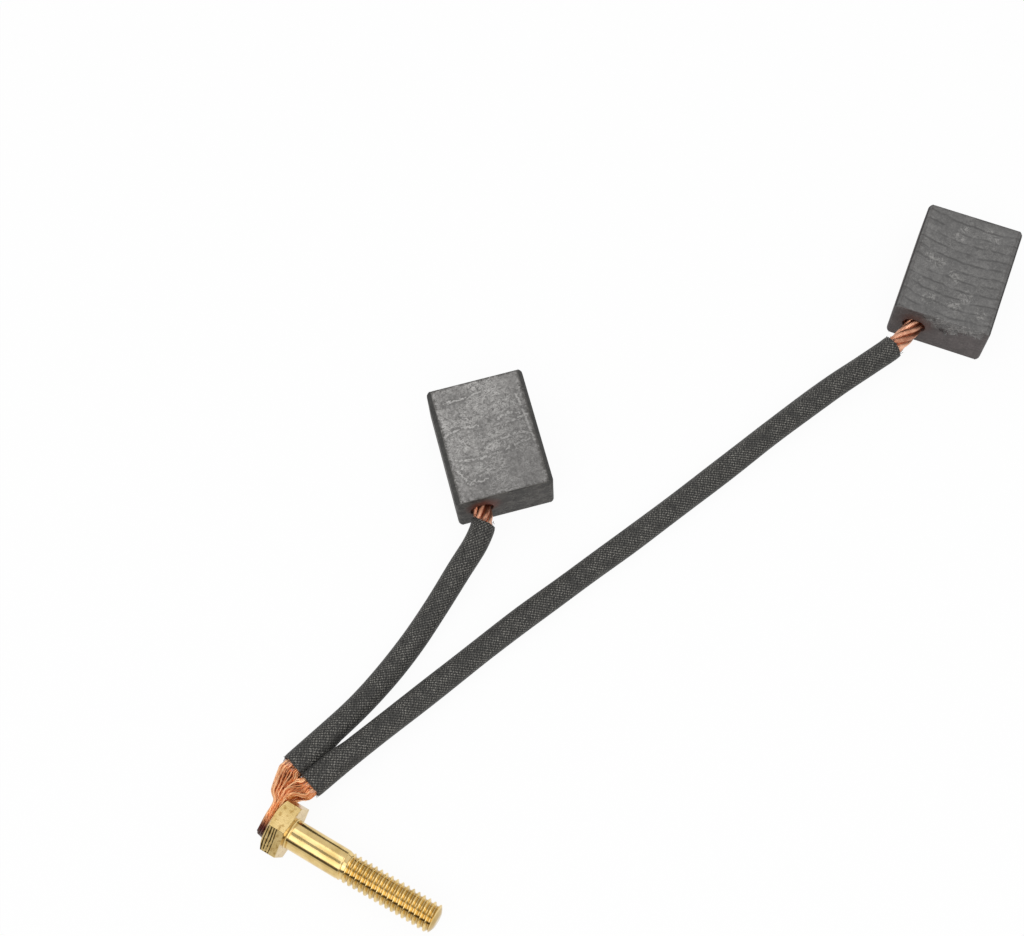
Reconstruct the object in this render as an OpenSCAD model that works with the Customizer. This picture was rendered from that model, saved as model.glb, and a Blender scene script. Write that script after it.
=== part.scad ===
// Pair of carbon brushes on sleeved copper leads, welded to one terminal bolt.
// Millimetres, +Z up. The set lies on the plane z = 0, with the bolt along +X
// and both leads running off its head along +Y, one to each brush.

/* [Carbon brush] */
// Length of a brush, from its lead end to its wear face
brush_length = 27.5; // [20:0.5:38]
// Width of a brush, across the face that the lead leaves
brush_width = 21.8; // [16:0.2:28]
// Thickness of a brush, and its height as it lies
brush_thickness = 13.2; // [10:0.2:18]
// Chamfer along the four long edges of a brush
edge_chamfer = 1.0; // [0.4:0.1:2]

/* [Lead hole] */
// Diameter of the blind hole that holds the lead
hole_d = 5.2; // [4.6:0.1:6.4]
// Depth of the blind hole
hole_depth = 11; // [7:0.5:16]
// Distance from the brush's middle line to the middle of the hole
hole_offset = 5.4; // [3:0.1:7]
// Depth of the open ring left above the tamped powder
powder_recess = 0.8; // [0.3:0.1:2]
// Powder below the end of the rope
powder_floor = 1.0; // [0.5:0.1:2]

/* [Lead] */
// Diameter of the stranded copper rope
rope_d = 4.2; // [3:0.1:4.4]
// Wall of the woven sleeve
sleeve_wall = 0.4; // [0.2:0.05:0.45]
// Radial gap between the rope and its sleeve
sleeve_gap = 0.25; // [0.1:0.05:0.3]

/* [Terminal bolt] */
// Outside diameter of the stud's thread
stud_d = 6.35; // [5:0.05:8]
// Length of the stud below the head
stud_length = 34.9; // [20:0.5:50]
// Chamfer at the tip of the stud
tip_chamfer = 0.8; // [0.3:0.1:1.5]
// Width of the hexagon head across its flats
head_af = 11.1; // [10:0.1:13]
// Height of the head
head_height = 4.1; // [3:0.1:6]
// Rise of the round chamfer on the head's outer face
head_chamfer = 0.6; // [0.3:0.1:1]

/* [Weld] */
// Thickness of the splayed copper beside the head, where it is gathered
fan_thickness = 4.4; // [3.6:0.1:6]
// Thickness of the flattened copper on the head
pad_thickness = 2; // [0.8:0.1:2.5]
// Height of the flattened copper, up the head's face
pad_height = 8.4; // [5:0.2:9]
// Length of the flattened copper, across the head's face
pad_length = 10.2; // [8:0.2:11]

/* [Layout] */
// Turn of the brush on the short lead, in degrees
short_brush_turn = 45; // [30:1:60]
// Turn of the brush on the long lead, in degrees
long_brush_turn = 9; // [0:1:20]
// Roll of the bolt from resting on a corner of its head, in degrees
bolt_roll = 11; // [0:1:30]

/* [Hidden] */

// Middle of each brush, and the point where the stud leaves the head
short_brush_at = [-33.4, -1.3];
long_brush_at = [37.8, 85.5];
bolt_at = [-25.5, -94.6];

rope_r = rope_d / 2;
sleeve_in_r = rope_r + sleeve_gap;
sleeve_r = sleeve_in_r + sleeve_wall;
// The rope and the powder slip into what holds them with this radial gap
fit_gap = 0.04;
cord_sides = 12;

head_corner_r = head_af / sqrt(3);
// The head rests on one of its long edges
bolt_axis_z = head_corner_r * cos(bolt_roll);
head_face_x = bolt_at.x - head_height;

// Routes of the leads, from the weld to the brush: x, y and how far the lead's
// middle is above its height where it lies flat. The sleeve runs from the
// second point to the last one. Each rope then goes on into its brush. Both
// ropes end at the weld in one plane.
short_route = [
    [-33.2, -83.8, 3.4], [-32.9, -82.8, 3.35],
    [-30.5, -74, 2.3], [-28.4, -65, 0.9], [-26.9, -56, 0.1], [-25.9, -47, 0.05],
    [-25.4, -38, 0.8], [-25.1, -29, 2.3], [-24.9, -21.5, 3.5], [-25.7, -17.4, 3.8]
];
long_route = [
    [-27.7, -85.45, 3.4], [-27.4, -84.45, 3.35],
    [-24.7, -76, 2.8], [-21.5, -67, 2.1], [-18.2, -58, 1.3], [-14.9, -49, 0.6],
    [-11.6, -40, 0.15], [-8.1, -31, 0.05], [-4.3, -22, 0.05], [-0.5, -13, 0.05],
    [3.4, -4, 0.05], [7.1, 5, 0.05], [10.7, 14, 0.1], [14.3, 23, 0.4],
    [17.9, 32, 0.9], [21.8, 41, 1.6], [25.9, 50, 2.4], [29.9, 58, 3.1],
    [33.1, 64.9, 3.6]
];

function unit(v) = v / norm(v);

// A point given along a brush's own width, length and height, set in place
function in_brush(at, turn, p) = [
    at.x + p.x * cos(turn) - p.y * sin(turn),
    at.y + p.x * sin(turn) + p.y * cos(turn),
    p.z
];

// A point on the axis of the lead hole, so deep below the brush's face
function hole_point(at, turn, depth) =
    in_brush(at, turn, [-hole_offset, depth - brush_length / 2, brush_thickness / 2]);

// A route with its heights counted from the floor
function raised(route) = [for (p = route) [p.x, p.y, p.z + sleeve_r]];

// The whole middle line of a rope, ending inside its brush
function rope_path(route, at, turn) = concat(
    raised(route),
    [hole_point(at, turn, 0), hole_point(at, turn, hole_depth - powder_floor)]
);

// Direction of a path at its point i
function heading(path, i) =
    i == 0 ? unit(path[1] - path[0])
    : i == len(path) - 1 ? unit(path[i] - path[i - 1])
    : unit(unit(path[i + 1] - path[i]) + unit(path[i] - path[i - 1]));

// Level direction square to a path at its point i
function sideways(path, i) = unit(cross([0, 0, 1], heading(path, i)));

// Corners of the ring of radius r about a path's point i
function ring(path, i, r) = [
    for (k = [0 : cord_sides - 1])
        let (a = 360 * k / cord_sides)
            path[i] + r * cos(a) * sideways(path, i)
                + r * sin(a) * cross(heading(path, i), sideways(path, i))
];

// All ring corners along a path, one ring after the other
function rings(path, r) = [for (i = [0 : len(path) - 1], p = ring(path, i, r)) p];

// Four-sided faces between the rings numbered from `first` on
function wall_faces(count, first, outward) = [
    for (i = [0 : count - 2], k = [0 : cord_sides - 1])
        let (
            a = first + i * cord_sides,
            next = (k + 1) % cord_sides,
            face = [a + k, a + cord_sides + k, a + cord_sides + next, a + next]
        )
            outward ? face : [face[3], face[2], face[1], face[0]]
];

// One closed tube, solid all through
module solid_tube(path, r) {
    count = len(path);
    last = (count - 1) * cord_sides;
    polyhedron(
        points = rings(path, r),
        faces = concat(
            wall_faces(count, 0, true),
            [[for (k = [0 : cord_sides - 1]) k]],
            [[for (k = [cord_sides - 1 : -1 : 0]) last + k]]
        ),
        convexity = 6
    );
}

// One closed tube with a bore right through it
module hollow_tube(path, r, bore_r) {
    count = len(path);
    inner = count * cord_sides;
    last = (count - 1) * cord_sides;
    polyhedron(
        points = concat(rings(path, r), rings(path, bore_r)),
        faces = concat(
            wall_faces(count, 0, true),
            wall_faces(count, inner, false),
            [
                for (k = [0 : cord_sides - 1])
                    let (next = (k + 1) % cord_sides)
                        [k, next, inner + next, inner + k]
            ],
            [
                for (k = [0 : cord_sides - 1])
                    let (next = (k + 1) % cord_sides)
                        [last + next, last + k, inner + last + k, inner + last + next]
            ]
        ),
        convexity = 8
    );
}

// Moves a piece from the brush's own frame to its place
module placed(at, turn) {
    translate([at.x, at.y, 0]) rotate([0, 0, turn]) children();
}

// Moves a piece to the mouth of the lead hole, with +Z going down the hole
module in_hole() {
    translate([-hole_offset, -brush_length / 2, brush_thickness / 2])
        rotate([-90, 0, 0])
            children();
}

// Rectangle with its four corners cut off, the brush seen from its lead end
module brush_outline() {
    w = brush_width / 2;
    t = brush_thickness;
    c = edge_chamfer;
    polygon([
        [-w + c, 0], [w - c, 0], [w, c], [w, t - c],
        [w - c, t], [-w + c, t], [-w, t - c], [-w, c]
    ]);
}

// Pressed carbon brush with the blind hole for its lead
module carbon_brush() {
    difference() {
        rotate([90, 0, 0])
            linear_extrude(height = brush_length, center = true)
                brush_outline();
        in_hole()
            translate([0, 0, -1])
                cylinder(h = hole_depth + 1, d = hole_d, $fn = 64);
    }
}

// Copper powder tamped around the rope's end in the hole
module tamped_powder() {
    in_hole()
        difference() {
            translate([0, 0, powder_recess])
                cylinder(
                    h = hole_depth - powder_recess,
                    r = hole_d / 2 - fit_gap,
                    $fn = 64
                );
            cylinder(h = hole_depth - powder_floor, r = rope_r + fit_gap, $fn = 64);
        }
}

// Hexagon head, chamfered at its outer face, standing on z = 0
module hexagon_head() {
    face_r = head_corner_r - head_chamfer / tan(30);
    intersection() {
        cylinder(h = head_height, r = head_corner_r, $fn = 6);
        rotate_extrude($fn = 96)
            polygon([
                [0, 0], [face_r, 0], [head_corner_r, head_chamfer],
                [head_corner_r + 1, head_chamfer + 1],
                [head_corner_r + 1, head_height + 1], [0, head_height + 1]
            ]);
    }
}

// Stud at its outside diameter, with a chamfered tip, standing on z = 0. It
// starts half way into the head.
module stud() {
    r = stud_d / 2;
    rotate_extrude($fn = 96)
        polygon([
            [0, -head_height / 2], [r, -head_height / 2], [r, stud_length - tip_chamfer],
            [r - tip_chamfer, stud_length], [0, stud_length]
        ]);
}

// Moves a piece drawn along +Z from the head's underside to the bolt's place
module on_bolt() {
    translate([bolt_at.x, bolt_at.y, bolt_axis_z])
        rotate([bolt_roll, 0, 0])
            rotate([0, 90, 0])
                children();
}

module terminal_bolt() {
    color("#d9b44a")
        on_bolt() {
            translate([0, 0, -head_height]) hexagon_head();
            stud();
        }
}

// Thin slice of a rope at the first point of its route
module rope_end(route) {
    path = raised(route);
    back = path[0] - 0.2 * heading(path, 0);
    solid_tube([path[0], back], rope_r);
}

// Upright slab of copper: x from the head's outer face, y from the bolt's axis
module copper_slab(x_from, x_to, y, height) {
    translate([head_face_x + x_from, bolt_at.y + y, bolt_axis_z - height / 2])
        cube([x_to - x_from, 0.4, height]);
}

// Both ropes' splayed ends, gathered beside the head's corner, then folded
// round it and pressed into one flat pad on its outer face
module weld_joint() {
    neck_y = head_corner_r + 0.1;
    fold_y = neck_y - 0.3 * pad_length;
    color("#b86f4c") {
        hull() {
            rope_end(short_route);
            rope_end(long_route);
            copper_slab(-fan_thickness, 1.2, neck_y, pad_height - 0.6);
        }
        hull() {
            copper_slab(-fan_thickness - 0.1, -0.3, neck_y, pad_height - 0.2);
            copper_slab(-pad_thickness - 0.6, -0.3, fold_y, pad_height - 0.2);
        }
        hull() {
            copper_slab(-pad_thickness - 0.1, 0, neck_y - 0.1, pad_height);
            copper_slab(-pad_thickness, 0, neck_y - pad_length, pad_height * 0.8);
        }
    }
}

module lead_rope(route, at, turn) {
    color("#c87855") solid_tube(rope_path(route, at, turn), rope_r);
}

module lead_sleeve(route) {
    path = raised(route);
    covered = [for (i = [1 : len(path) - 1]) path[i]];
    color("#3a3a38") hollow_tube(covered, sleeve_r, sleeve_in_r);
}

module short_lead_rope() {
    lead_rope(short_route, short_brush_at, short_brush_turn);
}

module short_lead_sleeve() {
    lead_sleeve(short_route);
}

module short_lead_powder() {
    color("#7a4a38") placed(short_brush_at, short_brush_turn) tamped_powder();
}

module short_lead_brush() {
    color("#7d7d7d") placed(short_brush_at, short_brush_turn) carbon_brush();
}

module long_lead_rope() {
    lead_rope(long_route, long_brush_at, long_brush_turn);
}

module long_lead_sleeve() {
    lead_sleeve(long_route);
}

module long_lead_powder() {
    color("#7a4a38") placed(long_brush_at, long_brush_turn) tamped_powder();
}

module long_lead_brush() {
    color("#6f6f6f") placed(long_brush_at, long_brush_turn) carbon_brush();
}

terminal_bolt();
weld_joint();
short_lead_rope();
short_lead_sleeve();
short_lead_powder();
short_lead_brush();
long_lead_rope();
long_lead_sleeve();
long_lead_powder();
long_lead_brush();
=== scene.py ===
"""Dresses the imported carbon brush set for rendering.

Two pressed carbon brushes hang on sleeved, stranded copper leads of different
length. Both leads are splayed, gathered and welded to the head of one brass
terminal bolt. Sizes are in millimetres until a mesh is made; meshes, lamps and
the camera are in metres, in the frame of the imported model.
"""

import logging
import math
from collections.abc import Callable, Iterator, Sequence
from contextlib import contextmanager
from dataclasses import dataclass, field
from enum import Enum
from functools import partial

import bmesh
import bpy
import numpy as np
from mathutils import Matrix, Vector


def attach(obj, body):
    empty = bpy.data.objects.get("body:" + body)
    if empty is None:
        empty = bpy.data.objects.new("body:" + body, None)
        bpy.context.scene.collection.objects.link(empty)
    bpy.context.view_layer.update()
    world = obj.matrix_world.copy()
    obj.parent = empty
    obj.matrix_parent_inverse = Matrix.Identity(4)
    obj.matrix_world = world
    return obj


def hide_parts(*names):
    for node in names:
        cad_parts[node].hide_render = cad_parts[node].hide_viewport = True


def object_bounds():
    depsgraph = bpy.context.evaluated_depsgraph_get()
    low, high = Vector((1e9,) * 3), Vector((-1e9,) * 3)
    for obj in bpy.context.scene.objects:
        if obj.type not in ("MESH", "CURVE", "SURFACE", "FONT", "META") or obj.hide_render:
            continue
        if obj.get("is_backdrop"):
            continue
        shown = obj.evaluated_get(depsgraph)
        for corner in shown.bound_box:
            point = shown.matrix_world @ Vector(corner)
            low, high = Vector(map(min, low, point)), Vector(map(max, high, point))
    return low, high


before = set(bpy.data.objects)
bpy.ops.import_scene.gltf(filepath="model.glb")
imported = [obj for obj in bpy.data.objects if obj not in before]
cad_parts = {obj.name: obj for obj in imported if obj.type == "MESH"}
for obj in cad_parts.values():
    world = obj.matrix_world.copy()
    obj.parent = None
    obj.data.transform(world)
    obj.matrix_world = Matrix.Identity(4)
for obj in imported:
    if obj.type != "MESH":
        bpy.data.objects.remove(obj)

MM = 0.001
LOG = logging.getLogger("brush_set")
# Points nearer than this, in millimetres, count as one
WELD_GAP = 0.001
GOLDEN_ANGLE = 2.39996
SPLINE_STEPS = 24
Triple = tuple[float, float, float]
Colour = tuple[float, float, float, float]
Socket = bpy.types.NodeSocket
Feed = bpy.types.Node | Socket | float | Triple | Colour
Adder = Callable[..., bpy.types.Node]
# Each node type's setting that stands after the colon
MODES = {"Math": "operation", "VectorMath": "operation", "MapRange": "interpolation_type",
         "Mapping": "vector_type", "TexNoise": "noise_dimensions", "Mix": "data_type"}
# A smooth 0 to 1 step from one value to another, and a mix of two colours
STEP = "MapRange:SMOOTHSTEP"
BLEND = "Mix:RGBA"
PLUS, LESS, TIMES = "Math:ADD", "Math:SUBTRACT", "Math:MULTIPLY"


class Slot(Enum):
    """Material slots of the record, one for each finish."""

    BRASS = "brass"
    WELD = "welded_copper"
    ROPE = "copper_rope"
    SLEEVE = "woven_sleeve"
    POWDER = "copper_powder"
    SHORT_CARBON = "short_lead_carbon"
    LONG_CARBON = "long_lead_carbon"


class Part(Enum):
    """What a selection in edit mode is made of."""

    VERTS = "VERT"
    EDGES = "EDGE"
    FACES = "FACE"


class Edge(Enum):
    """The two ends of a sleeve."""

    WELD_END = 0
    BRUSH_END = 1


# ---------------------------------------------------------------- node helpers


def linear(code: str) -> Colour:
    """Turns an sRGB hex colour into linear RGBA.

    Args:
        code: Six hex digits, with or without a leading hash.

    Returns:
        The colour in linear light, opaque.
    """
    raw = code.lstrip("#")
    parts = [int(raw[i : i + 2], 16) / 255 for i in (0, 2, 4)]
    r, g, b = (c / 12.92 if c <= 0.04045 else ((c + 0.055) / 1.055) ** 2.4 for c in parts)
    return (r, g, b, 1.0)


def feed(socket: Socket, source: Feed) -> None:
    """Links an input to a socket or to a node's first output, or sets its value.

    Args:
        socket: The input.
        source: A node, an output socket or a plain value.
    """
    if isinstance(source, bpy.types.Node):
        source = next(output for output in source.outputs if output.enabled)
    if isinstance(source, bpy.types.NodeSocket):
        socket.id_data.links.new(source, socket)
    else:
        socket.default_value = source


def fill(node: bpy.types.Node, feeds: dict[str, Feed]) -> None:
    """Feeds a node's inputs, each given by its name."""
    for name, source in feeds.items():
        feed(node.inputs[name], source)


def add_node(tree: bpy.types.NodeTree, kind: str, *feeds: Feed, **named: object) -> bpy.types.Node:
    """Adds a node with its settings and links.

    Args:
        tree: The node tree that gets the node.
        kind: The node's type, with its mode after a colon.
        feeds: What feeds the inputs that it shows, in their order.
        named: The node's own settings and what feeds its other inputs, by name.

    Returns:
        The new node.
    """
    kind, _, mode = kind.partition(":")
    node = tree.nodes.new(f"ShaderNode{kind}")
    # Its own settings come first, for they decide which inputs it shows
    own = {MODES[kind]: mode} if mode else {}
    own |= {key: value for key, value in named.items() if hasattr(node, key)}
    for key, value in own.items():
        setattr(node, key, value)
    shown = [socket for socket in node.inputs if socket.enabled]
    others = [(node.inputs[key], value) for key, value in named.items() if key not in own]
    for socket, source in [*zip(shown, feeds), *others]:
        feed(socket, source)
    return node


def nearest_line(add: Adder, place: Feed, lines: Sequence[Sequence[tuple[float, float]]],
                 height: float) -> bpy.types.Node:
    """Measures how far a point is from the nearest of some bent lines.

    Args:
        add: Adds a node to the material.
        place: The point.
        lines: Lines, each as points on a level plane.
        height: Height of that plane.

    Returns:
        The node that gives the distance.
    """
    best: bpy.types.Node | None = None
    for line in lines:
        for (x0, y0), (x1, y1) in zip(line, line[1:]):
            span = (x1 - x0, y1 - y0, 0.0)
            size = span[0] ** 2 + span[1] ** 2
            rel = add("VectorMath:SUBTRACT", place, (x0, y0, height))
            dot = add("VectorMath:DOT_PRODUCT", rel, span)
            share = add("Math:DIVIDE", dot, size, use_clamp=True)
            foot = add("VectorMath:SCALE", span, share)
            far = add("VectorMath:DISTANCE", rel, foot)
            best = far if best is None else add("Math:MINIMUM", best, far)
    assert best is not None
    return best


def patches_at(add: Adder, place: Feed, spots: Sequence[Triple], height: float) -> Feed:
    """Makes soft round patches.

    Args:
        add: Adds a node to the material.
        place: The point.
        spots: Each patch's two coordinates on a level plane and its radius.
        height: Height of that plane.

    Returns:
        The node that gives 1 inside the patches and 0 outside.
    """
    best: Feed = 0.0
    for x, y, radius in spots:
        far = add("VectorMath:DISTANCE", place, (x, y, height))
        best = add("Math:MAXIMUM", best, add(STEP, far, radius, 0.35 * radius))
    return best


# -------------------------------------------------------------------- finishes


@dataclass(frozen=True)
class Finish:
    """A surface finish, made as one node material."""

    name: str

    def blank(self) -> tuple[bpy.types.Material, Adder, bpy.types.Node]:
        """Makes an empty material with its shader.

        Returns:
            The material, what adds a node to it and its Principled shader.
        """
        material = bpy.data.materials.new(self.name)
        material.use_nodes = True
        material.node_tree.nodes.clear()
        add = partial(add_node, material.node_tree)
        shader = add("BsdfPrincipled")
        add("OutputMaterial", shader)
        return material, add, shader


@dataclass(frozen=True)
class CarbonFinish(Finish):
    """Electrographite, pressed in a block, sawn and tumbled.

    The sawn face is paler than the pressed ones, partly by its own tone and
    partly as painted light, with grains, fine pale creases and, where the saw
    shows, arcs across it; the chamfers are painted dark as shade. It has
    hardly any gloss.
    """

    at: tuple[float, float] = (0.0, 0.0)
    turn: float = 0.0
    hole: Triple = (-5.0, -13.75, 8.2)
    sawn_height: float = 13.2
    half_width: float = 9.9
    half_length: float = 13.75
    face_tone: str = "#767472"
    side_tone: str = "#4c4a48"
    pale_tone: str = "#aaa8a5"
    saw_depth: float = 1.0
    crease_depth: float = 1.0
    mottle: float = 1.0
    border: float = 0.7
    dark_corner: float = 0.0
    pale_chamfer: float = 0.0
    chamfer_shade_tone: str = "#3f3f3e"
    # Pale creases and scuffs, and the stretch of edge that has broken away
    creases: Sequence[Sequence[tuple[float, float]]] = ()
    scuffs: Sequence[tuple[float, float, float]] = ()
    broken_from: float = 0.0
    broken_to: float = 0.0
    stain: float = 0.5
    # The saw disc's radius and its feed for each stroke
    disc_radius: float = 40.0
    feed: float = 2.35

    def build(self) -> bpy.types.Material:
        """Makes the material.

        Returns:
            The finished material.
        """
        material, add, shader = self.blank()
        place = add("TexCoord").outputs["Object"]
        # Millimetres along the brush's own width, length and height
        own = add("Mapping:TEXTURE", place, Location=(self.at[0] * MM, self.at[1] * MM, 0.0),
                  Rotation=(0.0, 0.0, math.radians(self.turn)), Scale=(MM, MM, MM))
        axes = add("SeparateXYZ", own).outputs
        normal = add("NewGeometry").outputs["Normal"]
        up = add("SeparateXYZ", normal).outputs[2]
        sawn = add(TIMES, add(STEP, up, 0.8, 0.97),
                   add(STEP, axes[2], self.sawn_height - 0.9, self.sawn_height - 0.25))
        # How far a point lies inside the edges of the sawn face
        inside = add("Math:MINIMUM", add(LESS, self.half_width, add("Math:ABSOLUTE", axes[0])),
                     add(LESS, self.half_length, add("Math:ABSOLUTE", axes[1])))

        # Clouds of 5 mm, grains of 0.4 mm and grit of 0.2 mm
        clouds = add("TexNoise", own, Scale=0.22, Detail=3.0)
        grains = add("TexNoise", own, Scale=1.3, Detail=3.5, Roughness=0.68, Distortion=0.6)
        grit = add("TexNoise", own, Scale=4.2, Detail=2.0, Roughness=0.6)
        # Wrinkles of 1 mm, where the powder has smeared, and creases 5 mm long
        worms = add("TexNoise", own, Scale=0.95, Detail=2.5, Distortion=1.1)
        long_way = add("Mapping", own, Rotation=(0.0, 0.0, math.radians(-14.0)),
                       Scale=(0.6, 1.1, 1.0))
        folds = add("TexNoise", long_way, Scale=0.42, Detail=5.0, Roughness=0.64, Distortion=0.4)
        patches = add("TexNoise:4D", own, W=3.0, Scale=0.17, Detail=2.0)
        worm_line = add("Math:ABSOLUTE", add(LESS, worms, 0.5))
        worm = add(STEP, worm_line, 0.034, 0.004)
        fold_line = add("Math:ABSOLUTE", add(LESS, folds, 0.5))
        fold = add(TIMES, add(LESS, 1.0, add(STEP, fold_line, 0.002, 0.02)),
                   add(STEP, patches, 0.42, 0.56))

        # Arcs that the saw disc left, one for each stroke of the feed
        across = add(LESS, axes[0], 1.5)
        sag = add("Math:DIVIDE", add(TIMES, across, across), 2 * self.disc_radius)
        wander = add(TIMES, clouds, 1.6)
        stroke = add("Math:DIVIDE", add(PLUS, add(LESS, axes[1], sag), wander), self.feed)
        gap = add("Math:PINGPONG", stroke, 0.5)
        step = add("Math:FRACT", stroke)
        groove = add(LESS, 1.0, add(STEP, gap, 0.0, 0.17))
        fade = add("TexNoise:4D", own, W=7.0, Scale=0.3, Detail=2.0)
        groove = add(TIMES, groove, add(STEP, fade, 0.36, 0.56))
        groove = add(TIMES, groove, self.saw_depth)

        # Tones of the sawn face
        face = add(BLEND, add(STEP, clouds, 0.3, 0.7), self.shade(self.face_tone, 0.86),
                   self.shade(self.face_tone, 1.12))
        light = add(TIMES, add(STEP, grains, 0.5, 0.68), 0.55)
        face = add(BLEND, add(TIMES, light, self.mottle), face, linear(self.pale_tone))
        dark = add(TIMES, add(STEP, grains, 0.5, 0.34), 0.75)
        face = add(BLEND, add(TIMES, dark, self.mottle), face, self.shade(self.face_tone, 0.38))
        face = add(BLEND, add(TIMES, add(STEP, grit, 0.5, 0.66), 0.3 * self.mottle), face,
                   linear(self.pale_tone))
        quiet = add(STEP, patches, 0.36, 0.54)
        face = add(BLEND, add(TIMES, add(TIMES, worm, quiet), 0.58 * self.crease_depth), face,
                   linear(self.pale_tone))
        face = add(BLEND, add(TIMES, fold, min(0.6 * self.crease_depth, 1.0)), face,
                   self.shade(self.pale_tone, 1.1))
        shaken = add("VectorMath:MULTIPLY_ADD", worms.outputs[1], (1.5, 1.5, 0.0), own)
        shaken = add("VectorMath:SUBTRACT", shaken, (0.75, 0.75, 0.0))
        if self.creases:
            far = nearest_line(add, shaken, self.creases, self.sawn_height)
            # Painted shade lies along both sides of each crease
            face = add(BLEND, add(TIMES, add(STEP, far, 1.0, 0.4), 0.42), face,
                       self.shade(self.face_tone, 0.45))
            # Each crease comes and goes along its length
            kept = add(TIMES, add(STEP, grit, 0.32, 0.5), add(STEP, worms, 0.36, 0.52))
            crease = add(TIMES, add(STEP, far, 0.38, 0.1), kept)
            face = add(BLEND, add(TIMES, crease, 0.8), face, self.shade(self.pale_tone, 1.08))
        if self.scuffs:
            scuff = patches_at(add, shaken, self.scuffs, self.sawn_height)
            scratch = add("Math:MAXIMUM", worm, add(STEP, grains, 0.5, 0.62))
            face = add(BLEND, add(TIMES, add(TIMES, scuff, scratch), 0.7), face,
                       linear(self.pale_tone))
        # Painted shade ramps across each saw stroke
        face = add(BLEND, add(TIMES, step, 0.3 * self.saw_depth), face,
                   self.shade(self.face_tone, 0.66))
        if self.dark_corner:
            # The face darkens towards its lower right
            slope = add(LESS, axes[0], add(TIMES, axes[1], 0.7))
            face = add(BLEND, add(TIMES, add(STEP, slope, -6.0, 14.0), self.dark_corner), face,
                       self.shade(self.face_tone, 0.5))
        # Painted shade fills each saw groove
        face = add(BLEND, add(TIMES, groove, 0.62), face, self.shade(self.face_tone, 0.42))
        # The back edge is darker in an uneven thin line
        back_edge_line = add("Math:MULTIPLY_ADD", grit, 1.2, axes[1])
        face = add(BLEND, add(TIMES, add(STEP, back_edge_line, 13.9, 14.2), 0.6), face,
                   self.shade(self.face_tone, 0.25))
        bare = face
        # The face darkens in an uneven border along its edges
        border = add(PLUS, inside, add(TIMES, add(LESS, grains, 0.5), 2.2))
        edge_darkening = add(TIMES, add(STEP, border, self.border, 0.05), 0.75 - 0.6 * self.pale_chamfer)
        face = add(BLEND, edge_darkening, face, self.shade(self.side_tone, 1.15))

        # The pressed sides are darker, partly from their own pressed skin and partly as painted
        # shade, with fine upright drag lines
        drag_way = add("Mapping", own, Scale=(1.0, 1.0, 0.12))
        drag = add("TexNoise", drag_way, Scale=2.2, Detail=3.0)
        side = add(BLEND, add(STEP, drag, 0.35, 0.7), self.shade(self.side_tone, 0.88),
                   self.shade(self.side_tone, 1.12))
        side = add(BLEND, add(TIMES, add(STEP, grains, 0.5, 0.66), 0.55 * self.mottle), side,
                   self.shade(self.side_tone, 1.8))
        side = add(BLEND, add(TIMES, add(STEP, grains, 0.52, 0.38), 0.9 * self.mottle), side,
                   self.shade(self.side_tone, 0.4))
        # Smears a few millimetres across still show where the side is seen at a slant
        smear = add(TIMES, add(STEP, fade, 0.49, 0.57), 0.85 * self.mottle ** 2)
        side = add(BLEND, smear, side, self.shade(self.side_tone, 1.75))
        smear = add(TIMES, add(STEP, clouds, 0.49, 0.58), 0.95 * self.mottle ** 2)
        side = add(BLEND, smear, side, self.shade(self.side_tone, 0.5))
        streak = add("Math:MAXIMUM", add(TIMES, worm, 0.5), add(STEP, fold_line, 0.026, 0.008))
        side = add(BLEND, add(TIMES, streak, 0.9 * self.mottle ** 2), side,
                   self.shade(self.side_tone, 2.9))
        # Nicks in the edges show fresh, paler carbon
        nick = add(TIMES, add(STEP, inside, 0.08, 0.25),
                   add(STEP, axes[2], self.sawn_height - 2.6, self.sawn_height - 2.1))
        side = add(BLEND, add(TIMES, nick, 0.85), side, self.shade(self.face_tone, 0.98))
        if self.broken_to > self.broken_from:
            # Where the edge has broken away, the fresh carbon is paler and flaky
            along = add(TIMES, add(STEP, axes[0], self.broken_from - 0.6, self.broken_from + 0.8),
                        add(STEP, axes[0], self.broken_to + 0.6, self.broken_to - 0.8))
            along = add(TIMES, along, add(STEP, axes[1], -11.5, -12.5))
            flake = add("Math:MULTIPLY_ADD", worms, 7.0, axes[2])
            flake = add("Math:MULTIPLY_ADD", clouds, 5.0, flake)
            from_middle = add(LESS, axes[0], (self.broken_from + self.broken_to) / 2)
            flake = add(LESS, flake, add(TIMES, add("Math:ABSOLUTE", from_middle), 0.3))
            rim = add("Math:ABSOLUTE", add(LESS, flake, self.sawn_height + 1.0))
            fresh = add(TIMES, add(STEP, flake, self.sawn_height + 0.9, self.sawn_height + 1.2),
                        along)
            side = add(BLEND, add(TIMES, fresh, 0.75), side, self.shade(self.face_tone, 0.98))
            veins = add(TIMES, fresh, add("Math:MAXIMUM", worm, add(STEP, grains, 0.52, 0.62)))
            side = add(BLEND, add(TIMES, veins, 0.6), side, linear(self.pale_tone))
            rim = add(TIMES, add(STEP, rim, 0.3, 0.05), along)
            side = add(BLEND, add(TIMES, rim, 0.35), side, self.shade(self.side_tone, 0.4))
        # The chamfers along the two long edges, picked by their slope, are painted darker than the
        # pressed faces as shade
        chamfer = add(TIMES, add(STEP, up, 0.25, 0.5), add(STEP, up, 0.93, 0.8))
        chamfer = add(TIMES, chamfer,
                      add(STEP, add("Math:ABSOLUTE", axes[0]), self.half_width - 0.3,
                          self.half_width - 0.05))
        side = add(BLEND, add(TIMES, chamfer, 0.7), side, linear(self.chamfer_shade_tone))
        # Sawing has left their upper part as pale as the face
        upper = add(TIMES, chamfer,
                    add(STEP, axes[2], self.sawn_height - 0.75, self.sawn_height - 0.55))
        side = add(BLEND, add(TIMES, upper, self.pale_chamfer), side, bare)
        tone = add(BLEND, sawn, side, face)
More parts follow.
